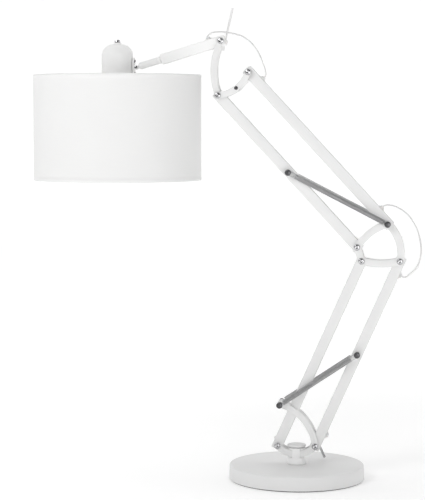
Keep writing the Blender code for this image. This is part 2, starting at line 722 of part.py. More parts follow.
def make_saddle():
    face = SHADE_AXIS + LAMP_CAP_RADIUS + GAP - NECK.x
    thick = 3 * MM
    plate = box((face, -8 * MM, -18 * MM), (face + thick, 8 * MM, 18 * MM))
    saddle = node("saddle_plate", SHADE_HEAD, WHITE_PAINT, plate)
    ear_radius, near = 4.4 * MM, TONGUE + GAP
    turns = [math.pi * i / 8 for i in range(9)]
    round_end = [Vector((math.sin(t), -math.cos(t))) * ear_radius for t in turns]
    ear = [Vector((face + thick / 2, ear_radius)), Vector((face + thick / 2, -ear_radius)), *round_end]
    lug = sheet(ear, [circle((0, 0), 1.8 * MM, 12)], near, near + 2.6 * MM)
    other = mirrored(lug)
    combine(saddle, "UNION", lug, other)
    far = near + 2.6 * MM + GAP
    pin = [(0, -far - 1.4 * MM), (3 * MM, -far - 1.2 * MM), (3 * MM, -far), (1.5 * MM, -far)]
    pin += [(radius, -depth) for radius, depth in reversed(pin)]
    node("neck_pin", SHADE_HEAD, CHROME, moved(turned(pin, segments=16), ALONG_Y))


def head_place(shape):
    """Moves a shape turned about the shade's axis, with world heights, into the shade head's axes."""
    return moved(shape, at(SHADE_AXIS - NECK.x, -NECK.y))


def make_lamp_cap():
    corner, wall = 21 * MM, 1.5 * MM
    outer, inner = [], []
    for i in range(5):
        turn = math.pi / 2 * i / 4
        across, up = math.sin(turn) * corner, math.cos(turn) * corner
        outer.append((LAMP_CAP_RADIUS - corner + across, LAMP_CAP_TOP - corner + up))
        shrink = (corner - wall) / corner
        inner.append((LAMP_CAP_RADIUS - corner + across * shrink, LAMP_CAP_TOP - corner + up * shrink))
    hole = 5 * MM
    collar_top = LAMP_CAP_TOP + 3 * MM
    collar = [(hole, collar_top), (6.8 * MM, collar_top), (8 * MM, collar_top - 1.4 * MM)]
    profile = [*collar, (8 * MM, LAMP_CAP_TOP), *outer, (LAMP_CAP_RADIUS, LAMP_CAP_BOTTOM)]
    profile += [(LAMP_CAP_RADIUS - wall, LAMP_CAP_BOTTOM), *reversed(inner), (hole, LAMP_CAP_TOP - wall)]
    node("lamp_cap", SHADE_HEAD, WHITE_PAINT, head_place(turned(profile, True, 24)))
    low = collar_top + GAP
    nut = [(0, low + 4.8 * MM), (hole, low + 4.8 * MM), (hole, low), (5.85 * MM, low)]
    nut += [(5.85 * MM, low + 3.6 * MM), (5 * MM, low + 5.2 * MM), (0, low + 5.8 * MM)]
    node("cap_nut", SHADE_HEAD, CHROME, head_place(turned(nut)))


def make_lampholder():
    nipple, shell = 4.7 * MM, 19.7 * MM
    profile = [
        (0, LAMP_CAP_TOP + 7.2 * MM),
        (nipple, LAMP_CAP_TOP + 7.2 * MM),
        (nipple, 760 * MM),
        (shell - 3 * MM, 758 * MM),
        (shell, 754 * MM),
        (shell, GALLERY_HEIGHT - 1 * MM - GAP),
        (26 * MM, GALLERY_HEIGHT - 1 * MM - GAP),
        (26 * MM, GALLERY_HEIGHT - 6 * MM),
        (shell, GALLERY_HEIGHT - 6 * MM),
        (shell, 696 * MM),
        (14.2 * MM, 695 * MM),
        (14.2 * MM, 732 * MM),
        (0, 732 * MM),
    ]
    node("lampholder", SHADE_HEAD, CERAMIC, head_place(turned(profile, False, 18)))
    glass = [
        (9 * MM, 729 * MM),
        (13.2 * MM, 724 * MM),
        (13.2 * MM, 693 * MM),
        (15 * MM, 689 * MM),
        (22 * MM, 677 * MM),
        (28.5 * MM, 665 * MM),
        (30 * MM, 655 * MM),
        (28 * MM, 643 * MM),
        (21 * MM, 632.5 * MM),
        (11 * MM, 626.6 * MM),
        (0, 625 * MM),
    ]
    wall = 1 * MM
    inside = [(max(radius - wall, 0), height) for radius, height in glass[:-1]]
    inside = [(radius, height + wall / 2) for radius, height in reversed(inside)]
    shell = [*glass, (0, glass[-1][1] + wall), *inside]
    node("bulb", SHADE_HEAD, BULB_GLASS, head_place(turned(shell, True, 16)))


def wire_ring(radius, height, segments=32):
    return turned([(radius + x, height + y) for x, y in circle((0, 0), RING_WIRE, 6)], True, segments)


def make_shade():
    low = SHADE_TOP - SHADE_HEIGHT
    skin = ring(SHADE_RADIUS - SHADE_SKIN, SHADE_RADIUS, low, SHADE_TOP, 48)
    node("shade_skin", SHADE_HEAD, SHADE_FABRIC, head_place(skin))
    wire_radius = SHADE_RADIUS - SHADE_SKIN - 3 * GAP - RING_WIRE
    node("shade_bottom_ring", SHADE_HEAD, WHITE_PAINT, head_place(wire_ring(wire_radius, low + 2 * MM)))
    top_ring = wire_ring(wire_radius, SHADE_TOP - 2 * MM)
    spider = node("shade_spider", SHADE_HEAD, WHITE_PAINT, head_place(top_ring))
    gallery_outer = 28 * MM
    gallery = ring(20.2 * MM, gallery_outer, GALLERY_HEIGHT - 1 * MM, GALLERY_HEIGHT + 1 * MM, 18)
    combine(spider, "UNION", head_place(gallery))
    start = Vector((gallery_outer - 2 * MM, 0, GALLERY_HEIGHT))
    end = Vector((wire_radius, 0, SHADE_TOP - 2 * MM))
    reach = (end - start).length
    for turn in (90, 210, 330):
        slope = Matrix.Rotation(math.atan2(end.x - start.x, end.z - start.z), 4, "Y")
        spoke = moved(rod(RING_WIRE * 0.9, 0, reach, 6), Matrix.Translation(start) @ slope)
        combine(spider, "UNION", head_place(moved(spoke, Matrix.Rotation(math.radians(turn), 4, "Z"))))


# ---- Springs, one in front and one behind. A coil's own axes have Z along the spring, from its anchor


def make_coil(name, owner, depth, length):
    """A coil as a sleeve, closed by a cone at the anchor, where it grows out of a round eye."""
    start, shoulder = EYE + 0.25 * MM, EYE + 2.65 * MM
    end = length - HOOK_PLAY - COIL_RADIUS - 2 * MM
    inside = COIL_RADIUS - 2 * WIRE
    profile = [(0, start), (COIL_RADIUS, shoulder), (COIL_RADIUS, end), (inside, end)]
    profile += [(inside, shoulder + 0.7 * MM), (0, start + 0.9 * MM)]
    coil = node(name, owner, SPRING_STEEL, moved(turned(profile), at(0, 0, depth)))
    section = [(EYE + x, y) for x, y in circle((0, 0), WIRE, 6)]
    combine(coil, "UNION", moved(turned(section, True), at(0, 0, depth) @ ALONG_Y))


def make_hook(name, owner, depth):
    """A closed loop of wire, as long as it slides on its bolt, whose far end bears on the bolt at rest."""
    far = [Vector((math.cos(t), math.sin(t))) * EYE for t in (math.pi * i / 8 for i in range(9))]
    near = [-point - Vector((0, HOOK_PLAY)) for point in far]
    curve = bpy.data.curves.new(name, "CURVE")
    curve.dimensions = "3D"
    curve.bevel_depth = WIRE
    curve.bevel_resolution = 1
    spline = curve.splines.new("POLY")
    spline.points.add(len(far + near) - 1)
    for knot, point in zip(spline.points, far + near):
        knot.co = (point.x, depth, point.y, 1)
    spline.use_cyclic_u = True
    show(name, owner, curve, SPRING_STEEL)


def make_springs(prefix, owner, end_owner, length):
    make_coil(f"{prefix}_spring_front", owner, -SPRING_DEPTH, length)
    make_coil(f"{prefix}_spring_back", owner, SPRING_DEPTH, length)
    make_hook(f"{prefix}_spring_hook", end_owner, -SPRING_DEPTH)


# ---- Free leads, each in two halves that meet over a bracket


def smooth(points, steps=3):
    """A Catmull-Rom curve through the points."""
    ends = [2 * points[0] - points[1], *points, 2 * points[-1] - points[-2]]
    curve = []
    for a, b, c, d in zip(ends, ends[1:], ends[2:], ends[3:]):
        for i in range(steps):
            t = i / steps
            slope, bend, twist = c - a, 2 * a - 5 * b + 4 * c - d, 3 * b - a - 3 * c + d
            curve.append(b + slope * (t / 2) + bend * (t * t / 2) + twist * (t**3 / 2))
    return [*curve, points[-1]]


def lead(name, owner, points):
    curve = bpy.data.curves.new(name, "CURVE")
    curve.dimensions = "3D"
    curve.bevel_depth = CORD
    curve.bevel_resolution = 2
    curve.use_fill_caps = True
    spline = curve.splines.new("POLY")
    spline.points.add(len(points) - 1)
    to_local = PLACES[owner.name].inverted()
    for knot, point in zip(spline.points, points):
        knot.co = (*(to_local @ Vector((point.x, 0, point.y))), 1)
    show(name, owner, curve, CORD_WHITE)


def mouth(pivot, lean, distance):
    """Two points straight out of a gland: just clear of its face, and a little further."""
    face = pivot + along(lean) * distance + beside(lean) * (GLAND_MOUTH + GAP)
    return [face, face + beside(lean) * 2.2 * MM]


def make_leads():
    steps = 2
    lower_gland = mouth(BASE_RIGHT, LOWER_LEAN, LOWER_GLAND_AT)
    upper_gland = mouth(ELBOW_UP_RIGHT, UPPER_LEAN, UPPER_GLAND_AT)
    top_gland = mouth(ELBOW_UP_RIGHT, UPPER_LEAN, TOP_GLAND_AT)
    head_gland = mouth(HEAD_PIVOT, HEAD_LEAN, HEAD_GLAND_AT)
    for name, start, route, end, split, low_owner, high_owner in (
        ("elbow_lead", lower_gland, ELBOW_ROUTE_MM, upper_gland, ELBOW_SPLIT, LOWER_OUTER, UPPER_OUTER),
        ("head_lead", top_gland, HEAD_ROUTE_MM, head_gland, HEAD_SPLIT, UPPER_OUTER, HEAD_ARM),
    ):
        points = smooth([*start, *(Vector(point) * MM for point in route), *end[::-1]], steps)
        middle = (split + 1) * steps
        step_on = (points[middle + 1] - points[middle]).normalized() * GAP
        lead(f"{name}_lower", low_owner, points[: middle + 1])
        lead(f"{name}_upper", high_owner, [points[middle] + step_on, *points[middle + 1 :]])


make_base()
make_turntable()
make_tubes()
make_elbow()
make_top_bracket()
make_levers()
make_head_arm()
make_head_rod()
make_saddle()
make_lamp_cap()
make_lampholder()
make_shade()
make_springs("lower", LOWER_SPRING, LOWER_SPRING_END, (LOWER_SPRING_BOLT - ANCHOR).length)
make_springs("upper", UPPER_SPRING, UPPER_SPRING_END, (UPPER_SPRING_BOLT - ELBOW_UP_RIGHT).length)
make_leads()
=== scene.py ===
# %% [markdown]
# # A white swing arm desk lamp
# The mechanical model is loaded first and never touched: it says where every pivot, tube and bolt is. Each
# finished piece is a grid of points worked out with numpy. All but the leads and the spring coils ride on
# the same moving body as the solid that they stand for.

import json
import math

import bmesh
import bpy
import numpy as np
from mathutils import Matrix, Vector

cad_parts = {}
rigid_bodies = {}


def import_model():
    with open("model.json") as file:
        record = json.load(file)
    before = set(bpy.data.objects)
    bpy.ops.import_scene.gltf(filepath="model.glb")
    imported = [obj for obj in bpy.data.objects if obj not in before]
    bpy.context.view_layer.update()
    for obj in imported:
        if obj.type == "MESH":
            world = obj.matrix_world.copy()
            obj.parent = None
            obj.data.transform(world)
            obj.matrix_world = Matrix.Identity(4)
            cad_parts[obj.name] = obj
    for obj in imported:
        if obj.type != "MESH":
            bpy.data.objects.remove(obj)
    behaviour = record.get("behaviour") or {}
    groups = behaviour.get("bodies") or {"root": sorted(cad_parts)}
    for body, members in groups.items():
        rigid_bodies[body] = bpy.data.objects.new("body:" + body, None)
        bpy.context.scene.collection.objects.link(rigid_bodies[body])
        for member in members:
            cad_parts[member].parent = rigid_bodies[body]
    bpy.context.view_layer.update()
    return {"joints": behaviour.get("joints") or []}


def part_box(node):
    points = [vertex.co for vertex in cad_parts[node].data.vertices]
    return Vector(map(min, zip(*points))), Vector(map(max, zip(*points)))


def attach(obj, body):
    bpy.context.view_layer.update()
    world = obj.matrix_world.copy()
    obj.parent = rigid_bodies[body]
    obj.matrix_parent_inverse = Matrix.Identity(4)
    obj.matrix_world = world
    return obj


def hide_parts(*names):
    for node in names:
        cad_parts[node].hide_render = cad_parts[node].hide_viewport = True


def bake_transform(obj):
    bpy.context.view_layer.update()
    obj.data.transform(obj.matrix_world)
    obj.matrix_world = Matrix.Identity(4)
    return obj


for leftover in list(bpy.data.objects):
    bpy.data.objects.remove(leftover)
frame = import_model()
MM = 0.001
X, Y, Z = np.eye(3)

# %% [markdown]
# ## Pivots
# A balanced lamp is two parallelograms, one on the other, so a few joint positions fix every other pivot.
# The frame gives the joints. The three corners that it opens follow from the parallelograms, and the spring
# bolts are the middles of their own solids.

# %% Pivots and directions
JOINT = {joint["name"]: np.array(joint["pos_m"]) for joint in frame["joints"] if "pos_m" in joint}


def middle(node):
    """The centre of a solid's box."""
    low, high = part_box(node)
    return (np.array(low) + np.array(high)) / 2


def unit(vector):
    return vector / np.linalg.norm(vector, axis=-1, keepdims=True)


BASE_LEFT, BASE_RIGHT = JOINT["lower_inner_follow"], JOINT["lower_arm_lean"]
ELBOW_LOW_RIGHT = JOINT["elbow_level"]
ELBOW_LOW_LEFT = BASE_LEFT + ELBOW_LOW_RIGHT - BASE_RIGHT
ELBOW_UP_LEFT, ELBOW_UP_RIGHT = JOINT["upper_inner_follow"], JOINT["upper_arm_lean"]
TOP_RIGHT = JOINT["top_level"]
TOP_LEFT = ELBOW_UP_LEFT + TOP_RIGHT - ELBOW_UP_RIGHT
HEAD_PIVOT, NECK = JOINT["head_tilt"], JOINT["shade_tilt"]
SPRING_ANCHOR = JOINT["lower_spring_swing"]
LOWER_SPRING_BOLT, UPPER_SPRING_BOLT = middle("lower_spring_bolt"), middle("upper_spring_bolt")
LOWER_WAY = unit(ELBOW_LOW_RIGHT - BASE_RIGHT)
UPPER_WAY = unit(TOP_RIGHT - ELBOW_UP_RIGHT)
HEAD_WAY = unit(NECK - HEAD_PIVOT)
BAR = float(np.linalg.norm(ELBOW_LOW_RIGHT - BASE_RIGHT))
SHADE_AXIS = middle("shade_skin") * (1, 1, 0)
print(f"bars {BAR / MM:.0f} mm between pivots")

# %% [markdown]
# ## Camera
# A long lens far away keeps the tubes nearly parallel, as a catalogue picture does. The camera stands a
# little to the right of the front and a little above the middle of the lamp.

# %% Camera
AZIMUTH, ELEVATION, DISTANCE, LENS = math.radians(8), math.radians(4.35), 3.30, 124.9
LOOKED_AT = np.array([-0.162, 0, 0.435])
level = math.cos(ELEVATION)
back = np.array([math.sin(AZIMUTH) * level, -math.cos(AZIMUTH) * level, math.sin(ELEVATION)])


def linked(name, data):
    """A new object in the scene."""
    made = bpy.data.objects.new(name, data)
    bpy.context.scene.collection.objects.link(made)
    return made


camera = linked("camera", bpy.data.cameras.new("camera"))
camera.data.lens = LENS
camera.location = LOOKED_AT + DISTANCE * back
camera.rotation_euler = (math.pi / 2 - ELEVATION, 0, AZIMUTH)
bpy.context.scene.camera = camera

# %% [markdown]
# ## Surfaces on a grid
# A surface is an array of points in rows and columns, and either may close on itself. One function turns
# such arrays into a mesh: it joins seams and poles, turns the faces outwards and marks the sharp edges.

# %% Grid to mesh


def surface(points, close_rows=False, close_columns=True):
    """A grid of points, as (rows, columns, 3), and which way it closes on itself."""
    return points, close_rows, close_columns


def grid_faces(rows, columns, close_rows, close_columns):
    """Row and column numbers of every quad's corners. A closed direction runs one step past its last line,
    and the caller wraps that step back to the first line."""
    i, j = np.meshgrid(
        np.arange(rows if close_rows else rows - 1),
        np.arange(columns if close_columns else columns - 1),
        indexing="ij",
    )
    i, j = i.ravel(), j.ravel()
    return np.stack([i, i + 1, i + 1, i], 1), np.stack([j, j, j + 1, j + 1], 1)


def lengths(points, closed, axis):
    """Distance walked along one direction of a grid, measured on its longest line."""
    if closed:
        points = np.concatenate([points, points.take([0], axis)], axis)
    steps = np.linalg.norm(np.diff(points, axis=axis), axis=2).max(axis=1 - axis)
    return np.concatenate([[0], np.cumsum(steps)])


def make_mesh(name, surfaces, sharp=35):
    """One mesh of several grids. A corner's UV is the distance walked along its row and its column, in
    metres, so a pattern on it keeps its real size."""
    corners, quads, uvs, count = [], [], [], 0
    for points, close_rows, close_columns in surfaces:
        rows, columns = points.shape[:2]
        i, j = grid_faces(rows, columns, close_rows, close_columns)
        quads.append(count + (i % rows) * columns + j % columns)
        along, around = lengths(points, close_rows, 0), lengths(points, close_columns, 1)
        uvs.append(np.stack([along[i], around[j]], 2).reshape(-1, 2))
        corners.append(points.reshape(-1, 3))
        count += rows * columns
    mesh = bpy.data.meshes.new(name)
    mesh.from_pydata(np.concatenate(corners), [], np.concatenate(quads))
    layer = mesh.uv_layers.new(name="surface")
    layer.data.foreach_set("uv", np.concatenate(uvs).astype(np.float32).ravel())
    work = bmesh.new()
    work.from_mesh(mesh)
    bmesh.ops.remove_doubles(work, verts=work.verts, dist=1e-6)
    bmesh.ops.recalc_face_normals(work, faces=work.faces)
    work.to_mesh(mesh)
    work.free()
    mesh.shade_smooth()
    mesh.set_sharp_from_angle(angle=math.radians(sharp))
    return mesh


MADE = []


def piece(name, body, finish, surfaces, replaces=(), sharp=35):
    """A finished piece that rides on a body, and the solids that it stands for. Without a body nothing is
    parented."""
    made = linked(name, make_mesh(name, surfaces, sharp))
    made.data.materials.append(finish["material"])
    if body:
        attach(made, body)
    if replaces:
        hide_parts(*replaces)
    MADE.append(made)
    return made


# %% [markdown]
# ## Profiles, turned shapes, squared shapes and swept shapes
# A lathe part is a profile turned about an axis. A square tube is a profile carried round a square with
# round corners. A wire is a circle carried along a path. Real edges are not sharp, so profiles are eased.

# %% Placing a shape


def axes_of(along):
    """Three directions for a shape whose own Z is `along`: across, deep and along. Across is deep x along,
    and deep is the world's Y unless the shape itself points along Y."""
    along = unit(np.asarray(along, float))
    deep = -Z * np.sign(along @ Y) if abs(along @ Y) > 0.9 else Y
    return np.array([np.cross(deep, along), deep, along])


def put(points, origin, along):
    """A shape's own coordinates in the world: origin + x across + y deep + z along."""
    return np.asarray(origin) + points @ axes_of(along)


def eased(profile, radius=0.3 * MM, steps=3, closed=False):
    """A profile with soft corners. A corner P between A and B becomes the quadratic curve
    (1-t)^2 A' + 2t(1-t) P + t^2 B', where A' and B' lie a radius from P towards A and B, or 45 per cent of
    the way where that is nearer."""
    profile = np.asarray(profile, float)
    if closed:
        profile = np.concatenate([profile[-1:], profile, profile[:1]])
    before, here, after = profile[:-2], profile[1:-1], profile[2:]
    t = np.linspace(0, 1, steps + 1)[None, :, None]

    def towards(other):
        step = other - here
        length = np.linalg.norm(step[:, :2], axis=1, keepdims=True)
        return (here + step * np.minimum(radius / np.maximum(length, 1e-9), 0.45))[:, None]

    curve = (1 - t) ** 2 * towards(before) + 2 * t * (1 - t) * here[:, None] + t**2 * towards(after)
    curve = curve.reshape(-1, profile.shape[1])
    return curve if closed else np.concatenate([profile[:1], curve, profile[-1:]])


# %% Turned shapes


def turned(profile, origin, along=Z, sides=48, closed=False):
    """A profile of (radius, height) turned about an axis: x = r cos a, y = r sin a, z = h. A third column
    says how hexagonal a row is: its radius is then multiplied by cos 30 / cos(a mod 60 - 30), which puts
    the flats nearer than the corners."""
    profile = np.asarray(profile, float)
    angle = np.linspace(0, 2 * np.pi, sides, endpoint=False)[None, :]
    radius = profile[:, :1] * np.ones_like(angle)
    if profile.shape[1] == 3:
        six = np.cos(np.pi / 6) / np.cos(angle % (np.pi / 3) - np.pi / 6)
        radius = radius * (1 + profile[:, 2:] * (six - 1))
    height = profile[:, 1:2] * np.ones_like(angle)
    points = np.stack([radius * np.cos(angle), radius * np.sin(angle), height], 2)
    return surface(put(points, origin, along), close_rows=closed)


def mm(rows):
    """Rows of (radius, height) written in millimetres. A third column is a share and stays as it is."""
    rows = np.array(rows, float)
    rows[:, :2] *= MM
    return rows


def spun(rows, soft, origin, along=Z, sides=48, closed=False, steps=3):
    """A lathe part from rows in millimetres, its corners eased over `soft` millimetres."""
    return turned(eased(mm(rows), soft * MM, steps, closed), origin, along, sides, closed)


def rod(radius, low, high, origin, along=Z, sides=24, edge=0.3 * MM):
    """A plain round bar with eased ends."""
    return turned(eased([(0, low), (radius, low), (radius, high), (0, high)], edge), origin, along, sides)


def washer(inner, outer, low, high, origin, along=Z, sides=48, edge=0.2 * MM):
    """A flat ring with eased edges."""
    profile = [(inner, low), (outer, low), (outer, high), (inner, high)]
    return turned(eased(profile, edge, closed=True), origin, along, sides, closed=True)


# %% Squared shapes


def squared(profile, origin, along, half_x, half_y, corner, closed=False, steps=5):
    """A profile of (inset, height) carried round a rectangle with round corners. At an inset i the corner
    radius is the larger of corner - i and a little, the corner's centre lies that radius inside the
    rectangle shrunk by i, and a point is centre + radius (cos a, sin a)."""
    profile = np.asarray(profile, float)
    inset, height = profile[:, :1], profile[:, 1:2]
    radius = np.maximum(corner - inset, np.minimum(0.2 * MM, min(half_x, half_y) - inset))
    radius = np.maximum(radius, 0)
    quarter = np.repeat(np.arange(4), steps + 1)
    angle = (quarter + np.tile(np.linspace(0, 1, steps + 1), 4)) * np.pi / 2
    sign_x, sign_y = np.array([1, -1, -1, 1])[quarter], np.array([1, 1, -1, -1])[quarter]
    x = sign_x * np.maximum(half_x - inset - radius, 0) + radius * np.cos(angle)
    y = sign_y * np.maximum(half_y - inset - radius, 0) + radius * np.sin(angle)
    points = np.stack([x, y, height * np.ones_like(x)], 2)
    return surface(put(points, origin, along), close_rows=closed)


# %% Swept shapes


def directions(path, closed=False):
    """Unit tangents and two unit normals at every point of a path, without twist. Any normal will do to
    start with. Each one is turned to the next point by the least turn between the tangents, the angle left
    to that point's own normal is measured, and the running sum of those angles turns them all into line."""
    if closed:
        tangent = unit(np.roll(path, -1, 0) - np.roll(path, 1, 0))
    else:
        tangent = unit(np.gradient(path, axis=0))
    least = np.eye(3)[np.abs(tangent).argmin(1)]
    normal = unit(np.cross(tangent, least))
    here, there = tangent[:-1], tangent[1:]
    turn = np.cross(here, there)
    share = 1 / (1 + (here * there).sum(1, keepdims=True))
    old = normal[:-1]
    carried_on = (
        old * (here * there).sum(1, keepdims=True)
        + np.cross(turn, old)
        + turn * (turn * old).sum(1, keepdims=True) * share
    )
    side = np.cross(there, normal[1:])
    left_over = np.arctan2((carried_on * side).sum(1), (carried_on * normal[1:]).sum(1))
    angle = np.concatenate([[0], np.cumsum(left_over)])[:, None]
    across = normal * np.cos(angle) + np.cross(tangent, normal) * np.sin(angle)
    return tangent, across, np.cross(tangent, across)


def swept(path, radius, sides=10, closed=False):
    """A round wire along a path: centre + r (n cos a + b sin a), with n and b the path's untwisted normals.
    An open wire's ends are a small chamfer and a flat disc."""
    path = np.asarray(path, float)
    tangent, across, deep = directions(path, closed)
    centre, size = path, np.full(len(path), float(radius))
    if not closed:
        rows = np.concatenate([[0, 0, 0], np.arange(1, len(path) - 1), [-1, -1, -1]])
        slide = np.zeros(len(rows))
        slide[2], slide[-3] = 0.2 * radius, -0.2 * radius
        size = np.full(len(rows), float(radius))
        size[[0, -1]], size[[1, -2]] = 0, 0.8 * radius
        tangent, across, deep = tangent[rows], across[rows], deep[rows]
        centre = path[rows] + tangent * slide[:, None]
    angle = np.linspace(0, 2 * np.pi, sides, endpoint=False)[None, :, None]
    ring = across[:, None] * np.cos(angle) + deep[:, None] * np.sin(angle)
    return surface(centre[:, None] + ring * size[:, None, None], close_rows=closed)


def through(points, steps):
    """A smooth curve through points: between b and c, with neighbours a and d, it is
    b + (c-a) t/2 + (2a-5b+4c-d) t^2/2 + (3b-a-3c+d) t^3/2."""
    points = np.asarray(points, float)
    ends = np.concatenate([2 * points[:1] - points[1:2], points, 2 * points[-1:] - points[-2:-1]])
    a, b, c, d = (ends[i : len(ends) - 3 + i][:, None] for i in range(4))
    t = (np.arange(steps) / steps)[None, :, None]
    curve = b + (c - a) * t / 2 + (2 * a - 5 * b + 4 * c - d) * t**2 / 2 + (3 * b - a - 3 * c + d) * t**3 / 2
    return np.concatenate([curve.reshape(-1, points.shape[1]), points[-1:]])


# %% [markdown]
# ## Flat plates
# The brackets are strips cut from 3 mm sheet. A strip follows an arc and ends in a half circle. The grid
# runs along the strip, over both round ends, and round its section with a small eased edge.

# %% Strips
PLATE = 3 * MM
EASE = 0.35 * MM


def arc(start, end, rise, steps=40):
    """Points from start to end on the circle whose middle stands `rise` to the left of the straight line,
    seen from the front. The circle's radius is (c^2/4 + rise^2) / (2 rise), for a chord c."""
    chord = end - start
    left = unit(np.cross(chord, -Y)) * -1
    radius = (chord @ chord / 4 + rise**2) / (2 * rise)
    centre = (start + end) / 2 + left * (rise - radius)
    half = math.asin(np.linalg.norm(chord) / 2 / radius)
    angle = np.linspace(-half, half, steps + 1)[:, None]
    return centre + radius * (left * np.cos(angle) + unit(chord) * np.sin(angle))


def edge_rows(near, far, ease=EASE, steps=3):
    """Round the two edges of a sheet, face to face: (inset, depth) pairs on quarter circles."""
    angle = np.linspace(0, np.pi / 2, steps + 1)
    inset, rise = ease * (1 - np.sin(angle)), ease * (1 - np.cos(angle))
    return np.concatenate([inset, inset[::-1]]), np.concatenate([near + rise, (far - rise)[::-1]])


def strip(centreline, half_width, near, far):
    """A strip of sheet with round ends. Its half width at an inset i is R - i, and e past an end it is
    sqrt((R-i)^2 - e^2), with e never more than R - i, so every eased edge follows the half circle."""
    inset, depth = edge_rows(near, far)
    side = np.repeat([1.0, -1.0], len(inset))
    inset, depth = np.concatenate([inset, inset[::-1]]), np.concatenate([depth, depth[::-1]])
    tangent = unit(np.gradient(centreline, axis=0))
    past = half_width * np.sin(np.linspace(0, np.pi / 2, 13))[1:]
    rows = np.concatenate([np.zeros(12, int), np.arange(len(centreline)), np.full(12, len(centreline) - 1)])
    beyond = np.concatenate([-past[::-1], np.zeros(len(centreline)), past])[:, None]
    reach = np.minimum(np.abs(beyond), half_width - inset) * np.sign(beyond)
    across = side * np.sqrt(np.maximum((half_width - inset) ** 2 - reach**2, 0))
    along, normal = tangent[rows][:, None], np.cross(tangent, Y)[rows][:, None]
    points = centreline[rows][:, None] + along * reach[..., None] + normal * across[..., None]
    points = points * (1, 0, 1) + depth[None, :, None] * Y
    return surface(points)


def slab(outline, way, low, high, ease=EASE):
    """A flat shape thickened along a way. An eased row is the outline shrunk towards its middle by the share
    inset / mean reach, and both faces close at the middle."""
    middle_point = outline.mean(0)
    reach = outline - middle_point
    inset, depth = edge_rows(low, high, ease)
    shrink = 1 - inset / np.linalg.norm(reach, axis=1).mean()
    shrink, depth = np.array([0, *shrink, 0]), np.array([low, *depth, high])
    return surface(middle_point + reach * shrink[:, None, None] + depth[:, None, None] * way)


# %% [markdown]
# ## Writing materials
# Wrapping a socket in a class with the usual operators lets a material be written as a calculation.

# %% A material's calculation


class Value:
    """One output in a material. Arithmetic on it adds Math nodes."""

    def __init__(self, finish, socket):
        self.finish, self.socket = finish, socket

    def math(self, operation, *others):
        return self.finish.node("ShaderNodeMath", {"operation": operation}, dict(enumerate(others)))

    def __add__(self, other):
        return self.math("ADD", self, other)

    def __mul__(self, other):
        return self.math("MULTIPLY", self, other)

    __radd__, __rmul__ = __add__, __mul__

    def sine(self):
        return self.math("SINE", self)

    def larger(self, other):
        return self.math("MAXIMUM", self, other)


class Finish:
    """A Principled material. What is the same all over is set on its own sockets."""

    def __init__(self, name, **same):
        self.material = bpy.data.materials.new(name)
        self.material.use_nodes = True
        self.nodes, self.links = self.material.node_tree.nodes, self.material.node_tree.links
        self.shader = self.nodes["Principled BSDF"]
        for socket, value in same.items():
            self.shader.inputs[socket.replace("_", " ")].default_value = value

    def node(self, kind, settings=None, inputs=None, output=0):
        """Adds a node: its settings first, then the values or links of its sockets."""
        made = self.nodes.new(kind)
        for key, value in (settings or {}).items():
            setattr(made, key, value)
        for key, value in (inputs or {}).items():
            if isinstance(value, Value):
                self.links.new(value.socket, made.inputs[key])
            else:
                made.inputs[key].default_value = value
        return Value(self, made.outputs[output])

    def feed(self, **varying):
        """Links what changes over the surface to the shader."""
        for socket, value in varying.items():
            self.links.new(value.socket, self.shader.inputs[socket.replace("_", " ")])

    def place(self, of="Object"):
        return self.node("ShaderNodeTexCoord", output=of)

    def noise(self, size, detail=2.0, rough=0.5, of="Object", stretch=None):
        """Noise from 0 to 1 with grains of about this size in metres. Its coordinates may be stretched."""
        at = self.place(of)
        if stretch:
            at = self.node("ShaderNodeMapping", inputs={"Vector": at, "Scale": stretch})
        inputs = {"Vector": at, "Scale": 1 / size, "Detail": detail, "Roughness": rough}
        return self.node("ShaderNodeTexNoise", inputs=inputs)

    def bump(self, height, metres, strength=1.0):
        inputs = {"Height": height, "Distance": metres, "Strength": strength}
        return self.node("ShaderNodeBump", inputs=inputs)

    def shade(self, dark, light, mask):
        """A colour between two, by a mask from 0 to 1."""
        colours = {"Factor": mask, 6: (*dark, 1), 7: (*light, 1)}
        return self.node("ShaderNodeMix", {"data_type": "RGBA"}, colours, output=2)


# %% [markdown]
# ## Finishes
# A broad noise drifts between two colours, and a fine one is the grain, which roughens and bumps the
# surface. Powder coat has an orange peel about a millimetre across. The same white paint has a brighter
# copy, painted light, on the head and the post, and a darker copy, painted shade, on the base. The spring
# wire is drawn, so its streaks follow the wire's own UV.

# %% Finishes with a grain


def grained(name, slot, dark, light, broad, fine, rough, height, mixed=0.0, **same):
    """Colour from dark to light by (1 - mixed) broad + mixed fine, roughness r0 + r1 fine + r2 broad, and a
    bump of the fine noise, `height` metres high. A noise is given as (size, detail, roughness, ...)."""
    made = Finish(name, **same)
    drift, grain = made.noise(*broad), made.noise(*fine)
    mask = mixed * grain + (1 - mixed) * drift if mixed else drift
    gloss = rough[0] + rough[1] * grain + rough[2] * drift
    made.feed(Base_Color=made.shade(dark, light, mask), Roughness=gloss)
    if height:
        made.feed(Normal=made.bump(grain, height))
    return {"material": made.material, "slot": slot}


def powder_coat(name, light, rough):
    dark = tuple(0.965 * c for c in light)
    peel, cloud = (1.1 * MM, 2.0), (60 * MM, 3.0, 0.6)
    gloss = {"Specular_IOR_Level": 0.45, "Coat_Roughness": 0.25}
    return grained(name, "white_paint", dark, light, cloud, peel, (rough, 0.07, 0.05), 0.012 * MM, **gloss)


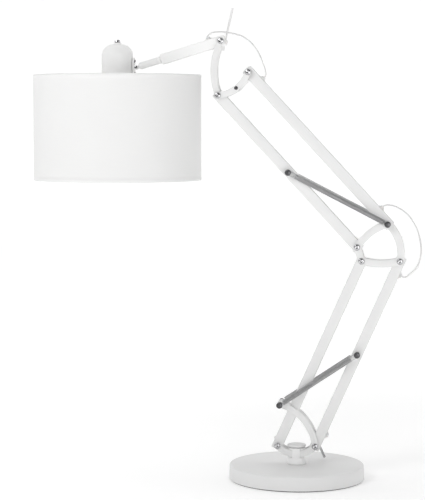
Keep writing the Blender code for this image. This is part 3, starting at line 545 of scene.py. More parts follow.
WHITE_COAT = powder_coat("white_powder_coat", (0.81, 0.81, 0.807), 0.36)
# A darker copy of the white coat: painted shade on the base.
PAINTED_SHADE_COAT = powder_coat("painted_shade_powder_coat", (0.765, 0.765, 0.763), 0.40)
# A brighter copy of the white coat: painted light on the head arm, lamp cap, saddle and swivel post.
PAINTED_LIGHT_COAT = powder_coat("painted_light_powder_coat", (0.93, 0.93, 0.927), 0.36)
CHROME = grained(
    "polished_chrome", "chrome", (0.44, 0.44, 0.45), (0.58, 0.58, 0.59),
    (9 * MM, 4.0, 0.65), (0.5 * MM,), (0.05, 0, 0.10), 0.002 * MM, Metallic=1.0,
)
BLACK_STEEL = grained(
    "blackened_steel", "dark_steel", (0.05, 0.05, 0.053), (0.16, 0.16, 0.165), (3 * MM, 5.0, 0.7),
    (0.7 * MM, 3.0, 0.5, "Object", (1, 0.1, 1)), (0.24, 0.18, 0), 0.006 * MM, Metallic=1.0,
)
SPRING_WIRE = grained(
    "spring_wire", "spring_steel", (0.34, 0.34, 0.345), (0.60, 0.60, 0.605), (14 * MM, 3.0, 0.6),
    (0.25 * MM, 3.0, 0.5, "UV", (0.04, 1, 1)), (0.22, 0.16, 0), 0.004 * MM, 0.5, Metallic=1.0,
)
IRON = grained(
    "cast_iron", "iron", (0.06, 0.058, 0.055), (0.14, 0.135, 0.13),
    (25 * MM, 4.0), (1.4 * MM, 5.0, 0.7), (0.62, 0.2, 0), 0.25 * MM, Metallic=0.6,
)

# %% [markdown]
# ## Plastics, cord, porcelain, glass and felt
# The glands and plugs are moulded nylon. The lead is matt plastic with shallow waves from its extruder.

# %% Smaller finishes
CORD_WAVE = (5 * MM, 2.0, 0.5, "UV")
GLASS_CLOUD = (22 * MM, 3.0)
NYLON = grained(
    "white_nylon", "white_nylon", (0.74, 0.74, 0.73), (0.79, 0.79, 0.78), (12 * MM, 3.0), (0.35 * MM,),
    (0.34, 0.12, 0), 0.006 * MM, Specular_IOR_Level=0.45, Subsurface_Weight=0.05, Subsurface_Scale=0.002,
)
CORD_SKIN = grained(
    "white_cord", "white_cord", (0.70, 0.70, 0.695), (0.76, 0.76, 0.755),
    CORD_WAVE, CORD_WAVE, (0.42, 0.12, 0), 0.02 * MM, Specular_IOR_Level=0.4,
)
PORCELAIN = grained(
    "white_porcelain", "white_ceramic", (0.70, 0.69, 0.66), (0.77, 0.76, 0.73),
    (18 * MM, 3.0), (0.8 * MM,), (0.16, 0.10, 0), 0.006 * MM, Coat_Weight=0.6, Coat_Roughness=0.08,
)
OPAL_GLASS = grained(
    "opal_glass", "opal_glass", (0.84, 0.84, 0.82), (0.90, 0.90, 0.88),
    GLASS_CLOUD, GLASS_CLOUD, (0.10, 0.05, 0), 0,
    Subsurface_Weight=0.25, Subsurface_Scale=0.01, Coat_Weight=0.5, Coat_Roughness=0.03,
)
FELT = grained(
    "black_felt", "felt_pad", (0.025, 0.025, 0.026), (0.075, 0.075, 0.077),
    (4 * MM, 3.0), (0.4 * MM, 4.0, 0.8), (0.88, 0.1, 0), 0.2 * MM, Sheen_Weight=0.4, Sheen_Roughness=0.6,
)
LINER_FILM = grained(
    "white_liner_film", "white_fabric", (0.80, 0.80, 0.79), (0.85, 0.85, 0.84),
    (40 * MM, 3.0), (0.6 * MM,), (0.45, 0.1, 0), 0.006 * MM, Specular_IOR_Level=0.4,
)

# %% [markdown]
# ## Shade cloth
# Fine white cotton on a stiff liner. Its threads are two sets of ridges, weft round the drum and warp up
# it, and whichever is higher at a place shows. Slubs make some threads greyer.

# %% Shade cloth
THREAD = 0.5 * MM


def shade_cloth():
    cloth = Finish("white_shade_cloth", Sheen_Weight=0.15, Sheen_Roughness=0.5, Specular_IOR_Level=0.25)
    up = cloth.node("ShaderNodeSeparateXYZ", inputs={0: cloth.place("UV")})
    around = Value(cloth, up.socket.node.outputs[1])
    turns = 2 * math.pi / THREAD
    weft, warp = (up * turns).sine(), (around * turns).sine()
    weave = weft.larger(warp) * 0.5 + 0.5
    slub, speck = cloth.noise(1.2 * MM, of="UV", stretch=(1, 0.03, 1)), cloth.noise(1.2 * MM, of="UV")
    cloudy = cloth.noise(90 * MM, 3.0)
    mask = weave * 0.35 + slub * 0.3 + speck * 0.1 + cloudy * 0.25
    cloth.feed(
        Base_Color=cloth.shade((0.765, 0.765, 0.762), (0.835, 0.835, 0.83), mask),
        Roughness=0.78 + 0.16 * slub,
        Normal=cloth.bump(weave, 0.05 * MM, 0.5),
    )
    return {"material": cloth.material, "slot": "white_fabric"}


SHADE_CLOTH = shade_cloth()
print("finishes:", len(bpy.data.materials))

# %% [markdown]
# ## Free leads
# A lead loops round the elbow and another round the top bracket, from gland to gland. Each crosses two
# joints, so it is made in two halves that meet over the bracket. The route is a given list of places, the
# same as the solids follow, with a smooth curve through them.

# %% Leads
CORD = 1.7 * MM
GLAND_MOUTH = 14.5 * MM
GAP = 0.3 * MM
ELBOW_ROUTE = [
    (0.205, 0.3888), (0.214, 0.3958), (0.2226, 0.4045), (0.2287, 0.4164), (0.2319, 0.432), (0.2319, 0.444),
    (0.2294, 0.4607), (0.2244, 0.4775), (0.217, 0.4917), (0.2088, 0.5034), (0.1975, 0.513), (0.1865, 0.5191),
    (0.1775, 0.5219), (0.169, 0.523),
]
HEAD_ROUTE = [
    (-0.0606, 0.7685), (-0.062, 0.776), (-0.0652, 0.7855), (-0.0696, 0.7974), (-0.0756, 0.8095),
    (-0.0838, 0.821), (-0.0928, 0.8302), (-0.103, 0.8372), (-0.115, 0.842), (-0.1276, 0.845),
    (-0.1436, 0.847), (-0.155, 0.847), (-0.1635, 0.8454),
]
ROUTE_SPLIT = 7
ROUTE_STEPS = 8
# A gland's body, the pivot that its tube starts from, the tube's direction and how far along it sits.
GLANDS = {
    "mains_gland": ("lower_outer_arm", BASE_RIGHT, LOWER_WAY, 27.7 * MM),
    "lower_gland": ("lower_outer_arm", BASE_RIGHT, LOWER_WAY, 361.5 * MM),
    "upper_gland": ("upper_outer_arm", ELBOW_UP_RIGHT, UPPER_WAY, 30 * MM),
    "top_gland": ("upper_outer_arm", ELBOW_UP_RIGHT, UPPER_WAY, 360 * MM),
    "head_gland": ("head_arm", HEAD_PIVOT, HEAD_WAY, 23 * MM),
}


def mouth(gland):
    """Two points straight out of a gland, on the face to the right of the tube's direction."""
    _, start, way, at = GLANDS[gland]
    out = np.cross(Y, way)
    face = start + way * at + out * (GLAND_MOUTH + GAP)
    return [face, face + out * 2.2 * MM]


def lead(name, route, first, last):
    """Two halves of one loop, each from its gland to the point over the bracket."""
    over = [(x, 0, z) for x, z in route]
    line = through(np.array([*mouth(first), *over, *mouth(last)[::-1]]), ROUTE_STEPS)
    meet = (ROUTE_SPLIT + 1) * ROUTE_STEPS
    for half, path, gland in (("lower", line[: meet + 1], first), ("upper", line[meet:][::-1], last)):
        node = f"{name}_{half}"
        made = piece(f"{node}_cord", None, CORD_SKIN, [swept(path, CORD, 16)], [node])
        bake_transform(made)


lead("elbow_lead", ELBOW_ROUTE, "lower_gland", "upper_gland")
lead("head_lead", HEAD_ROUTE, "top_gland", "head_gland")

# %% [markdown]
# ## Glands
# A nylon grommet: a stem in the tube's wall, a broad flange and a short nose that tapers round the lead.

# %% Glands
for name, (body, start, way, at) in GLANDS.items():
    rows = [(2, 7), (4, 7), (4, 10.3), (6.3, 10.3), (6.3, 11.3), (5.6, 12), (4.5, 12.4), (4.1, 14.5)]
    rows.append((2, 14.5))
    grommet = spun(rows, 0.5, start + way * at, np.cross(Y, way), 40, closed=True)
    piece(f"{name}_nylon", body, NYLON, [grommet], [name])

# %% [markdown]
# ## Base
# A pressed steel cover over a cast iron disc. Its rim is slightly wider at the foot. A thin felt disc, a
# little smaller than the cover, leaves a dark line under the rim.

# %% Base
ORIGIN = np.zeros(3)


def make_base():
    radius, top, edge, hole = 128, 28.5, 3, 5.3
    roll = np.linspace(0, np.pi / 2, 9)
    rim = np.stack([radius - edge * (1 - np.sin(roll)), top - edge * (1 - np.cos(roll))], 1)
    foot = [(128.5, 2.2), (128.3, 1.8), (126.0, 1.8), (126.0, 25.5), (124.0, 26.5), (hole, 26.5)]
    cover = turned(mm([(hole, top), *rim, *foot]), ORIGIN, Z, 180, closed=True)
    # The cover wears the darker copy of the white coat, which is painted shade.
    piece("base_cover_shell", "base", PAINTED_SHADE_COAT, [cover], ["base_cover"])
    pad = spun([(0, 0), (126.5, 0), (126.5, 1.5), (0, 1.5)], 0.5, ORIGIN, Z, 120)
    piece("base_felt", "base", FELT, [pad], ["base_pad"])


make_base()

# %% [markdown]
# ## Swivel post and cap
# The post is a round column with a flared foot. Two saw cuts across its upper half take the bracket plates,
# so a narrow cheek of the column stands in front of each. The cap is a low mushroom with a bevelled rim.

# %% Swivel post and cap
PLATE_DEPTH = 11.2 * MM


def make_swivel():
    low, high, column, shelf = 28.8, 60.0, 16.3, 41.5
    foot = [(0, 3.5), (8, 3.5), (8, 8), (14, 8), (14, 9.7), (5, 9.7), (5, low)]
    foot += [(17.0, low), (17.5, low + 0.5), (17.2, low + 6), (16.6, low + 11),
        (column, low + 12), (column, shelf), (0, shelf)]
    parts = [spun(foot, 0.8, ORIGIN, Z, 96)]
    # Above the shelf the slots leave a middle and two cheeks, each cut from the same column by its depth.
    radius, flat, cheek = column * MM, PLATE_DEPTH - GAP, PLATE_DEPTH + PLATE + GAP
    for near, far in ((-flat, flat), (cheek, radius), (-radius, -cheek)):
        y = np.linspace(near, far, 25)
        right = np.stack([np.sqrt(np.maximum(radius**2 - y**2, 0)), y, 0 * y], 1)
        outline = np.concatenate([right, (right * (-1, 1, 1))[::-1]])
        parts.append(slab(outline, Z, (shelf - 0.4) * MM, high * MM, 0.3 * MM))
    # The post wears the brighter copy of the white coat, which is painted light.
    piece("swivel_post_turned", "turntable", PAINTED_LIGHT_COAT, parts, ["swivel_post"])
    cap = [
        (0, 60.3), (11.6, 60.3), (12.2, 60.6), (16.6, 61.6), (18.0, 63.2), (18.0, 64.6), (17.2, 65.9),
        (12.2, 67.7), (6, 68.7), (0, 69.0),
    ]
    cap = spun(cap, 1.2, ORIGIN, Z, 96, steps=5)
    piece("swivel_cap_turned", "turntable", WHITE_COAT, [cap], ["swivel_cap"])


make_swivel()

# %% [markdown]
# ## Fasteners
# A pivot is a chromed button-head bolt, a washer each side of the tube and a nut at the back. The socket
# and the nut are turned profiles whose rows are hexagonal there.

# %% Pivot bolts
HEAD_RADIUS = 6.2 * MM
SHANK = 2.5 * MM
TUBE = 20 * MM
SEAT = PLATE_DEPTH + PLATE + GAP
OUTER_SEAT = SEAT + PLATE + GAP
WASHER_IN = TUBE / 2 + GAP


def button_head(seat):
    """A dome over a short rim, with a six-sided socket sunk in its top."""
    dome, seat, wide, socket = np.linspace(0, 0.80, 9), seat / MM, HEAD_RADIUS / MM, 1.85
    radius, height = wide * np.cos(dome), seat + 0.8 + 4.3 * np.sin(dome)
    top = height[-1]
    rows = [(0, seat, 0), (wide, seat, 0), *np.stack([radius, height, 0 * dome], 1), (2.9, top + 0.15, 0)]
    rows += [(2.2, top + 0.1, 0.2), (socket, top - 0.2, 1), (socket, top - 2.2, 1)]
    return mm([*rows, (socket * 0.9, top - 2.3, 1), (0, top - 2.9, 0)])


def hexagon_nut(seat):
    """A nut with chamfered corners, and the bolt's end in the middle of it."""
    seat, shank = seat / MM, SHANK / MM
    rows = [(0, 0, 0), (6.0, 0, 0.9), (6.4, 0.4, 1), (6.4, 2.9, 1), (5.6, 3.4, 0.6), (3.3, 3.4, 0)]
    rows += [(2.6, 2.9, 0), (shank, 3.0, 0), (shank, 3.7, 0), (2.1, 4.0, 0), (0, 4.0, 0)]
    return mm(np.array(rows) + (0, seat, 0))


def bolt_washers(point, collar_end):
    return [washer(SHANK, HEAD_RADIUS, WASHER_IN, collar_end, point, side) for side in (-Y, Y)]


def pivot_bolt(node, body, point, seat=SEAT, collar_end=PLATE_DEPTH - GAP, nut=True):
    """Shank, head, washers and nut of one pivot, along the depth."""
    parts = [turned(button_head(seat), point, -Y, 60), rod(SHANK, -seat, seat, point, Y)]
    parts += bolt_washers(point, collar_end)
    if nut:
        parts.append(turned(hexagon_nut(seat), point, Y, 60))
    piece(f"{node}_chromed", body, CHROME, parts, [node])


pivot_bolt("base_left_bolt", "turntable", BASE_LEFT)
pivot_bolt("elbow_low_left_bolt", "elbow", ELBOW_LOW_LEFT)
pivot_bolt("elbow_low_right_bolt", "elbow", ELBOW_LOW_RIGHT)
pivot_bolt("elbow_up_left_bolt", "elbow", ELBOW_UP_LEFT)
pivot_bolt("base_right_bolt", "turntable", BASE_RIGHT, nut=False)
pivot_bolt("head_pivot_bolt", "top_bracket", HEAD_PIVOT, nut=False)
pivot_bolt("top_left_bolt", "top_bracket", TOP_LEFT, OUTER_SEAT)
pivot_bolt("top_right_bolt", "top_bracket", TOP_RIGHT, OUTER_SEAT, SEAT - GAP)

# %% [markdown]
# ## Spring bolts
# A groove between two collars holds the spring's eye. A slotted head is a disc and two domed halves: each
# is a whole turned dome whose points beyond the slot's wall are moved on to the wall.

# %% Spring bolts
SPRING_DEPTH = 20 * MM
COLLAR = 4.5 * MM
GROOVE = 1.05 * MM
SPRING_HEAD = 28 * MM
SLOT = 0.75 * MM


def slotted_head(point, side, turn):
    """A head at the outer end of a spring bolt, with its slot turned by an angle from upright."""
    base, wide = SPRING_HEAD / MM - 3.4, HEAD_RADIUS / MM * 0.95
    parts = [spun([(0, base), (wide, base), (wide, base + 1.5), (0, base + 1.5)], 0.3, point, side)]
    dome = np.linspace(0, np.pi / 2, 9)
    rows = np.stack([wide * np.cos(dome), base + 1.9 + 1.5 * np.sin(dome)], 1)
    rows = mm([(0, base + 1.5), (wide, base + 1.5), *rows])
    wall = np.array([math.cos(turn), 0, math.sin(turn)])
    for way in (-wall, wall):
        half, close_rows, close_columns = turned(rows, point, side, 48)
        beyond = np.maximum(SLOT - (half - point) @ way, 0)
        parts.append((half + beyond[..., None] * way, close_rows, close_columns))
    return parts


def spring_seat(point, side, seat):
    """The shank from a seat to the head, with the groove's two collars."""
    low, high = SPRING_DEPTH - GROOVE, SPRING_DEPTH + GROOVE
    parts = [rod(SHANK, seat, SPRING_HEAD - 2 * MM, point, side)]
    if low - seat > 0.5 * MM:
        parts.append(washer(SHANK, COLLAR, seat, low, point, side))
    parts.append(washer(SHANK, COLLAR, high, SPRING_HEAD - 3.4 * MM, point, side))
    return parts


def spring_bolt(node, body, point, seat, turn, sides=(-Y, Y)):
    parts = []
    for side in sides:
        parts += spring_seat(point, side, seat) + slotted_head(point, side, turn)
    if len(sides) == 2:
        parts.append(rod(SHANK, -seat, seat, point, Y))
    if node == "elbow_spring_bolt":
        parts += bolt_washers(point, PLATE_DEPTH - GAP)
    piece(f"{node}_blackened", body, BLACK_STEEL, parts, [node])


spring_bolt("lower_spring_bolt", "lower_outer_arm", LOWER_SPRING_BOLT, WASHER_IN, 0.5)
spring_bolt("upper_spring_bolt", "upper_inner_arm", UPPER_SPRING_BOLT, WASHER_IN, -0.3)
spring_bolt("elbow_spring_bolt", "elbow", ELBOW_UP_RIGHT, SEAT, 0.9)
spring_bolt("lower_anchor_bolt_front", "turntable", SPRING_ANCHOR, SEAT, 0.1, [-Y])
spring_bolt("lower_anchor_bolt_back", "turntable", SPRING_ANCHOR, SEAT, 0.7, [Y])

# %% [markdown]
# ## Tubes and end plugs
# Five lengths of 20 mm square steel tube make the arms. A slightly domed nylon plug closes each sawn end.

# %% Tubes
TUBE_WALL = 1.5 * MM
TUBE_CORNER = 1.8 * MM
TUBE_END = 7 * MM
HEAD_TUBE_END = 119.7 * MM
TUBE_INSIDE = TUBE / 2 - TUBE_WALL - GAP


def tube(node, body, start, way, length, coat=WHITE_COAT):
    """A square tube from just before its first pivot to just past its last one."""
    wall = np.array([(0, -TUBE_END), (0, length), (TUBE_WALL, length), (TUBE_WALL, -TUBE_END)])
    grid = squared(eased(wall, closed=True), start, way, TUBE / 2, TUBE / 2, TUBE_CORNER, True)
    piece(f"{node}_coated", body, coat, [grid], [node])


def end_plug(name, body, end, out):
    """A plug in a tube's sawn end: a domed square 0.8 mm proud, 8 mm deep."""
    half = TUBE_INSIDE / MM
    rows = eased(mm([(half, -8), (0.4, -8), (0, -7), (0, 0.2), (0.8, 0.7), (half, 0.9)]))
    piece(name, body, NYLON, [squared(rows, end, out, TUBE_INSIDE, TUBE_INSIDE, 0.8 * MM)])


for arm, start, way in (
    ("lower_outer", BASE_RIGHT, LOWER_WAY),
    ("lower_inner", BASE_LEFT, LOWER_WAY),
    ("upper_outer", ELBOW_UP_RIGHT, UPPER_WAY),
    ("upper_inner", ELBOW_UP_LEFT, UPPER_WAY),
):
    tube(f"{arm}_tube", f"{arm}_arm", start, way, BAR + TUBE_END)
    end_plug(f"{arm}_plug_low", f"{arm}_arm", start - way * TUBE_END, -way)
    end_plug(f"{arm}_plug_high", f"{arm}_arm", start + way * (BAR + TUBE_END), way)
tube("head_arm_tube", "head_arm", HEAD_PIVOT, HEAD_WAY, HEAD_TUBE_END, PAINTED_LIGHT_COAT)
end_plug("head_arm_plug", "head_arm", HEAD_PIVOT - HEAD_WAY * TUBE_END, -HEAD_WAY)

# %% [markdown]
# ## Brackets
# The base bracket is one strip: it dips like a smile between the lower pivots and then climbs as a crescent
# to the spring anchor. The head crescent and the J bracket overlap at the top left pivot, one plate outside
# the other.

# %% Strip brackets
STRIP = 6 * MM
OVERLAP = 0.01 * MM


def make_brackets():
    smile = arc(BASE_LEFT, BASE_RIGHT, -16 * MM)
    crescent = arc(BASE_RIGHT, SPRING_ANCHOR, -16 * MM)
    near, far = PLATE_DEPTH, PLATE_DEPTH + PLATE
    # Two overlapping strips share the right pivot, which a bolt head covers.
    for name, low, high in (("front", -far, -near), ("back", near, far)):
        parts = [strip(smile, STRIP, low, high), strip(crescent, STRIP, low + OVERLAP, high + OVERLAP)]
        piece(f"base_bracket_{name}", "turntable", WHITE_COAT, parts, [f"base_plate_{name}"])
    head, hook = arc(HEAD_PIVOT, TOP_LEFT, -11 * MM), arc(TOP_LEFT, TOP_RIGHT, -10.5 * MM)
    for name, line, near, node in (
        ("head_crescent", head, PLATE_DEPTH, "head_plate"),
        ("top_bracket", hook, SEAT, "top_plate"),
    ):
        far = near + PLATE
        for end, low, high in (("front", -far, -near), ("back", near, far)):
            grid = strip(line, STRIP, low, high)
            piece(f"{name}_{end}", "top_bracket", WHITE_COAT, [grid], [f"{node}_{end}"])
    return hook[len(hook) // 2]


TOP_MIDDLE = make_brackets()

# %% [markdown]
# ## Elbow loop
# A ring of strip whose middle line is three arcs and one straight side. Seen from a place inside, both
# outlines are met once in every direction, so each is drawn as a distance for each direction.

# %% Elbow plates
ELBOW_STRIP = 6.75 * MM
LONGEST_RAY = 130 * MM
HALVINGS = 24
TINY = 1e-12


def distance_to(places, line):
    """From each place to the nearest spot on a closed line of straight pieces."""
    start, step = line, np.roll(line, -1, 0) - line
    away = places[..., None, :] - start
    share = np.clip((away * step).sum(-1) / (step**2).sum(-1), 0, 1)
    return np.linalg.norm(away - share[..., None] * step, axis=-1).min(-1)


def reach_of_rays(line, centre, rays):
    """How far along each ray the closed line is crossed, and the farthest crossing where there are more."""
    step, away = np.roll(line, -1, 0) - line, line - centre
    across = rays[:, :1] * step[:, 2] - rays[:, 2:] * step[:, 0]
    across = np.where(np.abs(across) < TINY, TINY, across)
    share = (away[:, 2] * rays[:, :1] - away[:, 0] * rays[:, 2:]) / -across
    reach = (away[:, 0] * step[:, 2] - away[:, 2] * step[:, 0]) / across
    return np.where((share >= -1e-6) & (share <= 1 + 1e-6) & (reach > 0), reach, 0).max(1)


def offset_outline(line, centre, rays, distance, outward):
    """Where rays from a centre cross the curve that keeps a distance from the line, found by halving: the
    crossing on the far side of the line if outward, on the near side if not."""
    on_line = reach_of_rays(line, centre, rays)
    low = on_line if outward else np.zeros(len(rays))
    high = np.full(len(rays), LONGEST_RAY) if outward else on_line
    for _ in range(HALVINGS):
        half = (low + high) / 2
        inside = distance_to(centre + rays * half[:, None], line) < distance
        keep_low = inside == outward
        low, high = np.where(keep_low, half, low), np.where(keep_low, high, half)
    return low


def make_elbow_plates():
    loop = np.concatenate([
        arc(ELBOW_LOW_LEFT, ELBOW_LOW_RIGHT, -5 * MM, 30)[:-1],
        arc(ELBOW_LOW_RIGHT, ELBOW_UP_RIGHT, -9.5 * MM, 30)[:-1],
        arc(ELBOW_UP_RIGHT, ELBOW_UP_LEFT, -6.4 * MM, 30)[:-1],
        ELBOW_UP_LEFT + np.linspace(0, 1, 9)[:-1, None] * (ELBOW_LOW_LEFT - ELBOW_UP_LEFT),
    ]) * (1, 0, 1)
    centre = np.mean([ELBOW_LOW_LEFT, ELBOW_LOW_RIGHT, ELBOW_UP_LEFT, ELBOW_UP_RIGHT], axis=0) * (1, 0, 1)
    turn = np.linspace(0, 2 * np.pi, 241)[:-1]
    rays = np.stack([np.cos(turn), 0 * turn, np.sin(turn)], 1)
    outer = offset_outline(loop, centre, rays, ELBOW_STRIP, True)
    # The opening's corners are rounded: keep farther from the line, then come back by the same amount.
    corner = 5 * MM
    core = offset_outline(loop, centre, rays, ELBOW_STRIP + corner, False)
    inner = offset_outline(centre + rays * core[:, None], centre, rays, corner, True)
    inner = np.minimum(inner, offset_outline(loop, centre, rays, ELBOW_STRIP, False))
    for name, low in (("front", -PLATE_DEPTH - PLATE), ("back", PLATE_DEPTH)):
        inset, depth = edge_rows(low, low + PLATE)
        rows = [(outer - i, d) for i, d in zip(inset, depth)]
        rows += [(inner + i, d) for i, d in zip(inset[::-1], depth[::-1])]
        points = np.stack([centre + rays * reach[:, None] + d * Y for reach, d in rows], 1)
        grid = surface(points, close_rows=True)
        piece(f"elbow_loop_{name}", "elbow", WHITE_COAT, [grid], [f"elbow_plate_{name}"])


make_elbow_plates()

# %% [markdown]
# ## Springs
# Each arm hangs on a pair of extension springs, one in front and one behind. The coil is a closely wound
# helix that ends in an eye at the anchor, and a long hook reaches the bolt at the other end. The hooks ride
# on the far body.

# %% Springs
WIRE = 0.65 * MM
PITCH = 2.4 * WIRE
COIL_RADIUS = 4.5 * MM
COIL_START = 8.5 * MM
STEPS_A_TURN = 18
EYE = 3.85 * MM
HOOK_PLAY = 9 * MM


def coil_path(anchor, way, depth, length):
    """An eye about the anchor, a short neck, then a helix: x = r cos a, y = r sin a, z = pitch a / 2 pi,
    which starts and ends on the axis side of the coil so that eye and hook meet it."""
    across, _, along = axes_of(way)
    axis = anchor + depth * Y
    eye_turn = np.linspace(-0.5, 1.5 * np.pi, 26)[:, None]
    eye = axis + EYE * (np.cos(eye_turn) * along + np.sin(eye_turn) * across)
    turns = (length - HOOK_PLAY - COIL_RADIUS - 2 * MM - COIL_START) / PITCH
    angle = np.linspace(0, 2 * np.pi * turns, int(turns * STEPS_A_TURN) + 1)[:, None]
    rise = COIL_START + PITCH * angle / (2 * np.pi)
    coil = axis + rise * along + COIL_RADIUS * (np.cos(angle - 0.6) * across + np.sin(angle - 0.6) * Y)
    neck = through(np.array([eye[-1], axis + 5.4 * MM * along - 3.2 * MM * across, coil[0]]), 5)[1:-1]
    return np.concatenate([eye, neck, coil])


def hook_path(anchor, way, depth, length):
    """From the coil's end up one side of a long loop, over the bolt and back down: two straight sides and
    half circles of the eye's radius. The loop's slack lies on the coil's side of the bolt."""
    across, _, along = axes_of(way)
    bolt = anchor + length * along + depth * Y
    over, under = np.linspace(0, np.pi, 17)[:, None], np.linspace(np.pi, 1.45 * np.pi, 9)[:, None]
    far = bolt + EYE * (np.cos(over) * across + np.sin(over) * along)
    near = bolt - HOOK_PLAY * along + EYE * (np.cos(under) * across + np.sin(under) * along)
    rise = [(3.2, -18.5), (3.3, -16.0), (3.6, -12.5), (3.85, -9.0)]
    rise = np.array([bolt + (a * across + b * along) * MM for a, b in rise])
    return np.concatenate([through(rise, 4), far, near])


def make_springs(name, bolt, anchor):
    length = float(np.linalg.norm(bolt - anchor))
    way = unit(bolt - anchor)
    past = way * 0.05 * length
    for side, depth in (("front", -SPRING_DEPTH), ("back", SPRING_DEPTH)):
        coil = [swept(coil_path(anchor, way, depth, length), WIRE, 8)]
        made = piece(f"{name}_coil_{side}", None, SPRING_WIRE, coil, [f"{name}_{side}"], 50)
        anchor - past
        bolt + past
        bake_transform(made)
        hook = [swept(hook_path(anchor, way, depth, length), WIRE, 10)]
        stands_for = [f"{name}_hook"] if side == "front" else []
        piece(f"{name}_hook_{side}", f"{name}_end", SPRING_WIRE, hook, stands_for, 50)
    print(f"{name}: {length / MM:.0f} mm from bolt to bolt")


make_springs("lower_spring", LOWER_SPRING_BOLT, SPRING_ANCHOR)
make_springs("upper_spring", UPPER_SPRING_BOLT, ELBOW_UP_RIGHT)

# %% [markdown]
# ## Clamp levers
# The right base pivot and the head pivot are tightened by hand, with a bar through a hub at the back.

# %% Levers
LEVER_DEPTH = 46 * MM


def clamp_lever(name, body, finish, point, hub, lean, reach, tail):
    """A hub of this radius and a bar that reaches to both sides of it, in millimetres, leaning from
    upright by an angle in degrees."""
    end, start, waist, lean = LEVER_DEPTH / MM + 6, SEAT / MM + 0.3, hub - 1, math.radians(lean)
    barrel = [(0, start + 12), (2.8, start + 12), (2.8, start), (hub, start), (hub, end - 22)]
    barrel += [(waist, end - 18), (waist, end - 1), (waist - 1, end), (0, end)]
    bar = [(0, -tail), (2.9, -tail + 0.6), (3, -tail + 4), (2.4, -tail + 6)]
    bar += [(2.5, reach - 1.2), (1.6, reach - 0.3), (0, reach)]
    way = np.array([math.sin(lean), 0, math.cos(lean)])
    parts = [spun(barrel, 0.5, point, Y), spun(bar, 0.8, point + LEVER_DEPTH * Y, way, 32)]
    piece(f"{name}_turned", body, finish, parts, [name])


clamp_lever("head_clamp_lever", "head_lever", WHITE_COAT, HEAD_PIVOT, 6.5, 13.3, 66, 17)
clamp_lever("base_clamp_lever", "base_lever", CHROME, BASE_RIGHT, 6, 156, 35.5, 9)

# %% [markdown]
# ## Head arm
# A nylon sleeve in the tube's end holds a turned spigot, so the head can roll. The ferrule outside the tube
# narrows to a flat tongue that carries the neck pin.

# %% Ferrule and sleeve
FERRULE_END = 164.5 * MM
NECK_AT = 170 * MM
SPIGOT = 5 * MM
TONGUE = 3.1 * MM
HALF_TURN = np.linspace(-np.pi / 2, np.pi / 2, 13)[:, None]


def make_head_rod():
    hold, spigot, end = HEAD_TUBE_END / MM - 24, SPIGOT / MM, FERRULE_END / MM
    rows = [
        (0, hold), (spigot, hold), (spigot, 121.5), (6.6, 121.5), (7, 122.1), (7, 126), (6.4, 126.5),
        (6.4, 127.5), (7, 128), (7, end - 3), (5.4, end), (0, end),
    ]
    across = axes_of(HEAD_WAY)[0]
    half_circle = np.cos(HALF_TURN) * HEAD_WAY + np.sin(HALF_TURN) * across
    nose = HEAD_PIVOT + HEAD_WAY * NECK_AT + TONGUE * half_circle
    root = HEAD_PIVOT + HEAD_WAY * (FERRULE_END - 1 * MM)
    outline = np.concatenate([[root - TONGUE * across], nose, [root + TONGUE * across]])
    parts = [spun(rows, 0.5, HEAD_PIVOT, HEAD_WAY), slab(outline, Y, -TONGUE, TONGUE)]
    piece("head_rod_turned", "head_rod", PAINTED_LIGHT_COAT, parts, ["head_rod"])
    low, high = HEAD_TUBE_END - 25 * MM, HEAD_TUBE_END - GAP
    outer = squared([(0, low), (0, high)], HEAD_PIVOT, HEAD_WAY, TUBE_INSIDE, TUBE_INSIDE, TUBE_WALL)[0]
    centre = HEAD_PIVOT + np.array([low, high])[:, None, None] * HEAD_WAY
    bore = centre + (SPIGOT + GAP) * unit(outer - centre)
    sleeve = surface(np.stack([bore[0], outer[0], outer[1], bore[1]]), close_rows=True)
    piece("head_arm_sleeve_nylon", "head_arm", NYLON, [sleeve], ["head_arm_sleeve"])


make_head_rod()

# %% [markdown]
# ## Saddle
# The tongue sits between two lugs of a small saddle, which two screws hold to the lamp cap.

# %% Saddle
LAMP_CAP_RADIUS = 30 * MM


def make_saddle():
    face = SHADE_AXIS + (LAMP_CAP_RADIUS + GAP) * X + NECK * (0, 0, 1)
    thick, lug, ear, near = 3, 2.6 * MM, 4.4 * MM, TONGUE + GAP
    rows = mm([(8, 0), (0.35, 0), (0, 0.35), (0, 2.65), (0.35, thick), (8, thick)])
    parts = [squared(rows, face, X, 18 * MM, 8 * MM, 2.5 * MM)]
    nose = NECK + ear * (np.cos(HALF_TURN) * X + np.sin(HALF_TURN) * Z)
    root = NECK * (0, 0, 1) + (face[0] + thick / 2 * MM) * X
    outline = np.concatenate([[root - ear * Z], nose, [root + ear * Z]])
    parts += [slab(outline, Y, near, near + lug), slab(outline, Y, -near - lug, -near)]
    piece("saddle_coated", "shade_head", PAINTED_LIGHT_COAT, parts, ["saddle_plate"])
    far = (near + lug + GAP) / MM
    pin = eased(mm([(0, -far - 1.4), (3, -far - 1.2), (3, -far), (1.5, -far)]))
    pin = turned(np.concatenate([pin, (pin * (1, -1))[::-1]]), NECK, Y, 32)
    piece("neck_pin_turned", "shade_head", CHROME, [pin], ["neck_pin"])
    head = [(0, thick - 0.5), (2.9, thick - 0.5), (2.9, thick + 1.2), (1.6, thick + 1.9), (0.5, thick + 1.2)]
    head += [(0, thick + 1.1)]
    screws = [spun(head, 0.5, face + height * MM * Z, X, 28) for height in (11.4, -11.8)]
    piece("saddle_screws", "shade_head", BLACK_STEEL, screws)


make_saddle()

# %% [markdown]
# ## Lamp cap, nut, lampholder and bulb
# All are turned about the shade's axis, and their heights are in millimetres above the floor.

# %% Cap and lamp


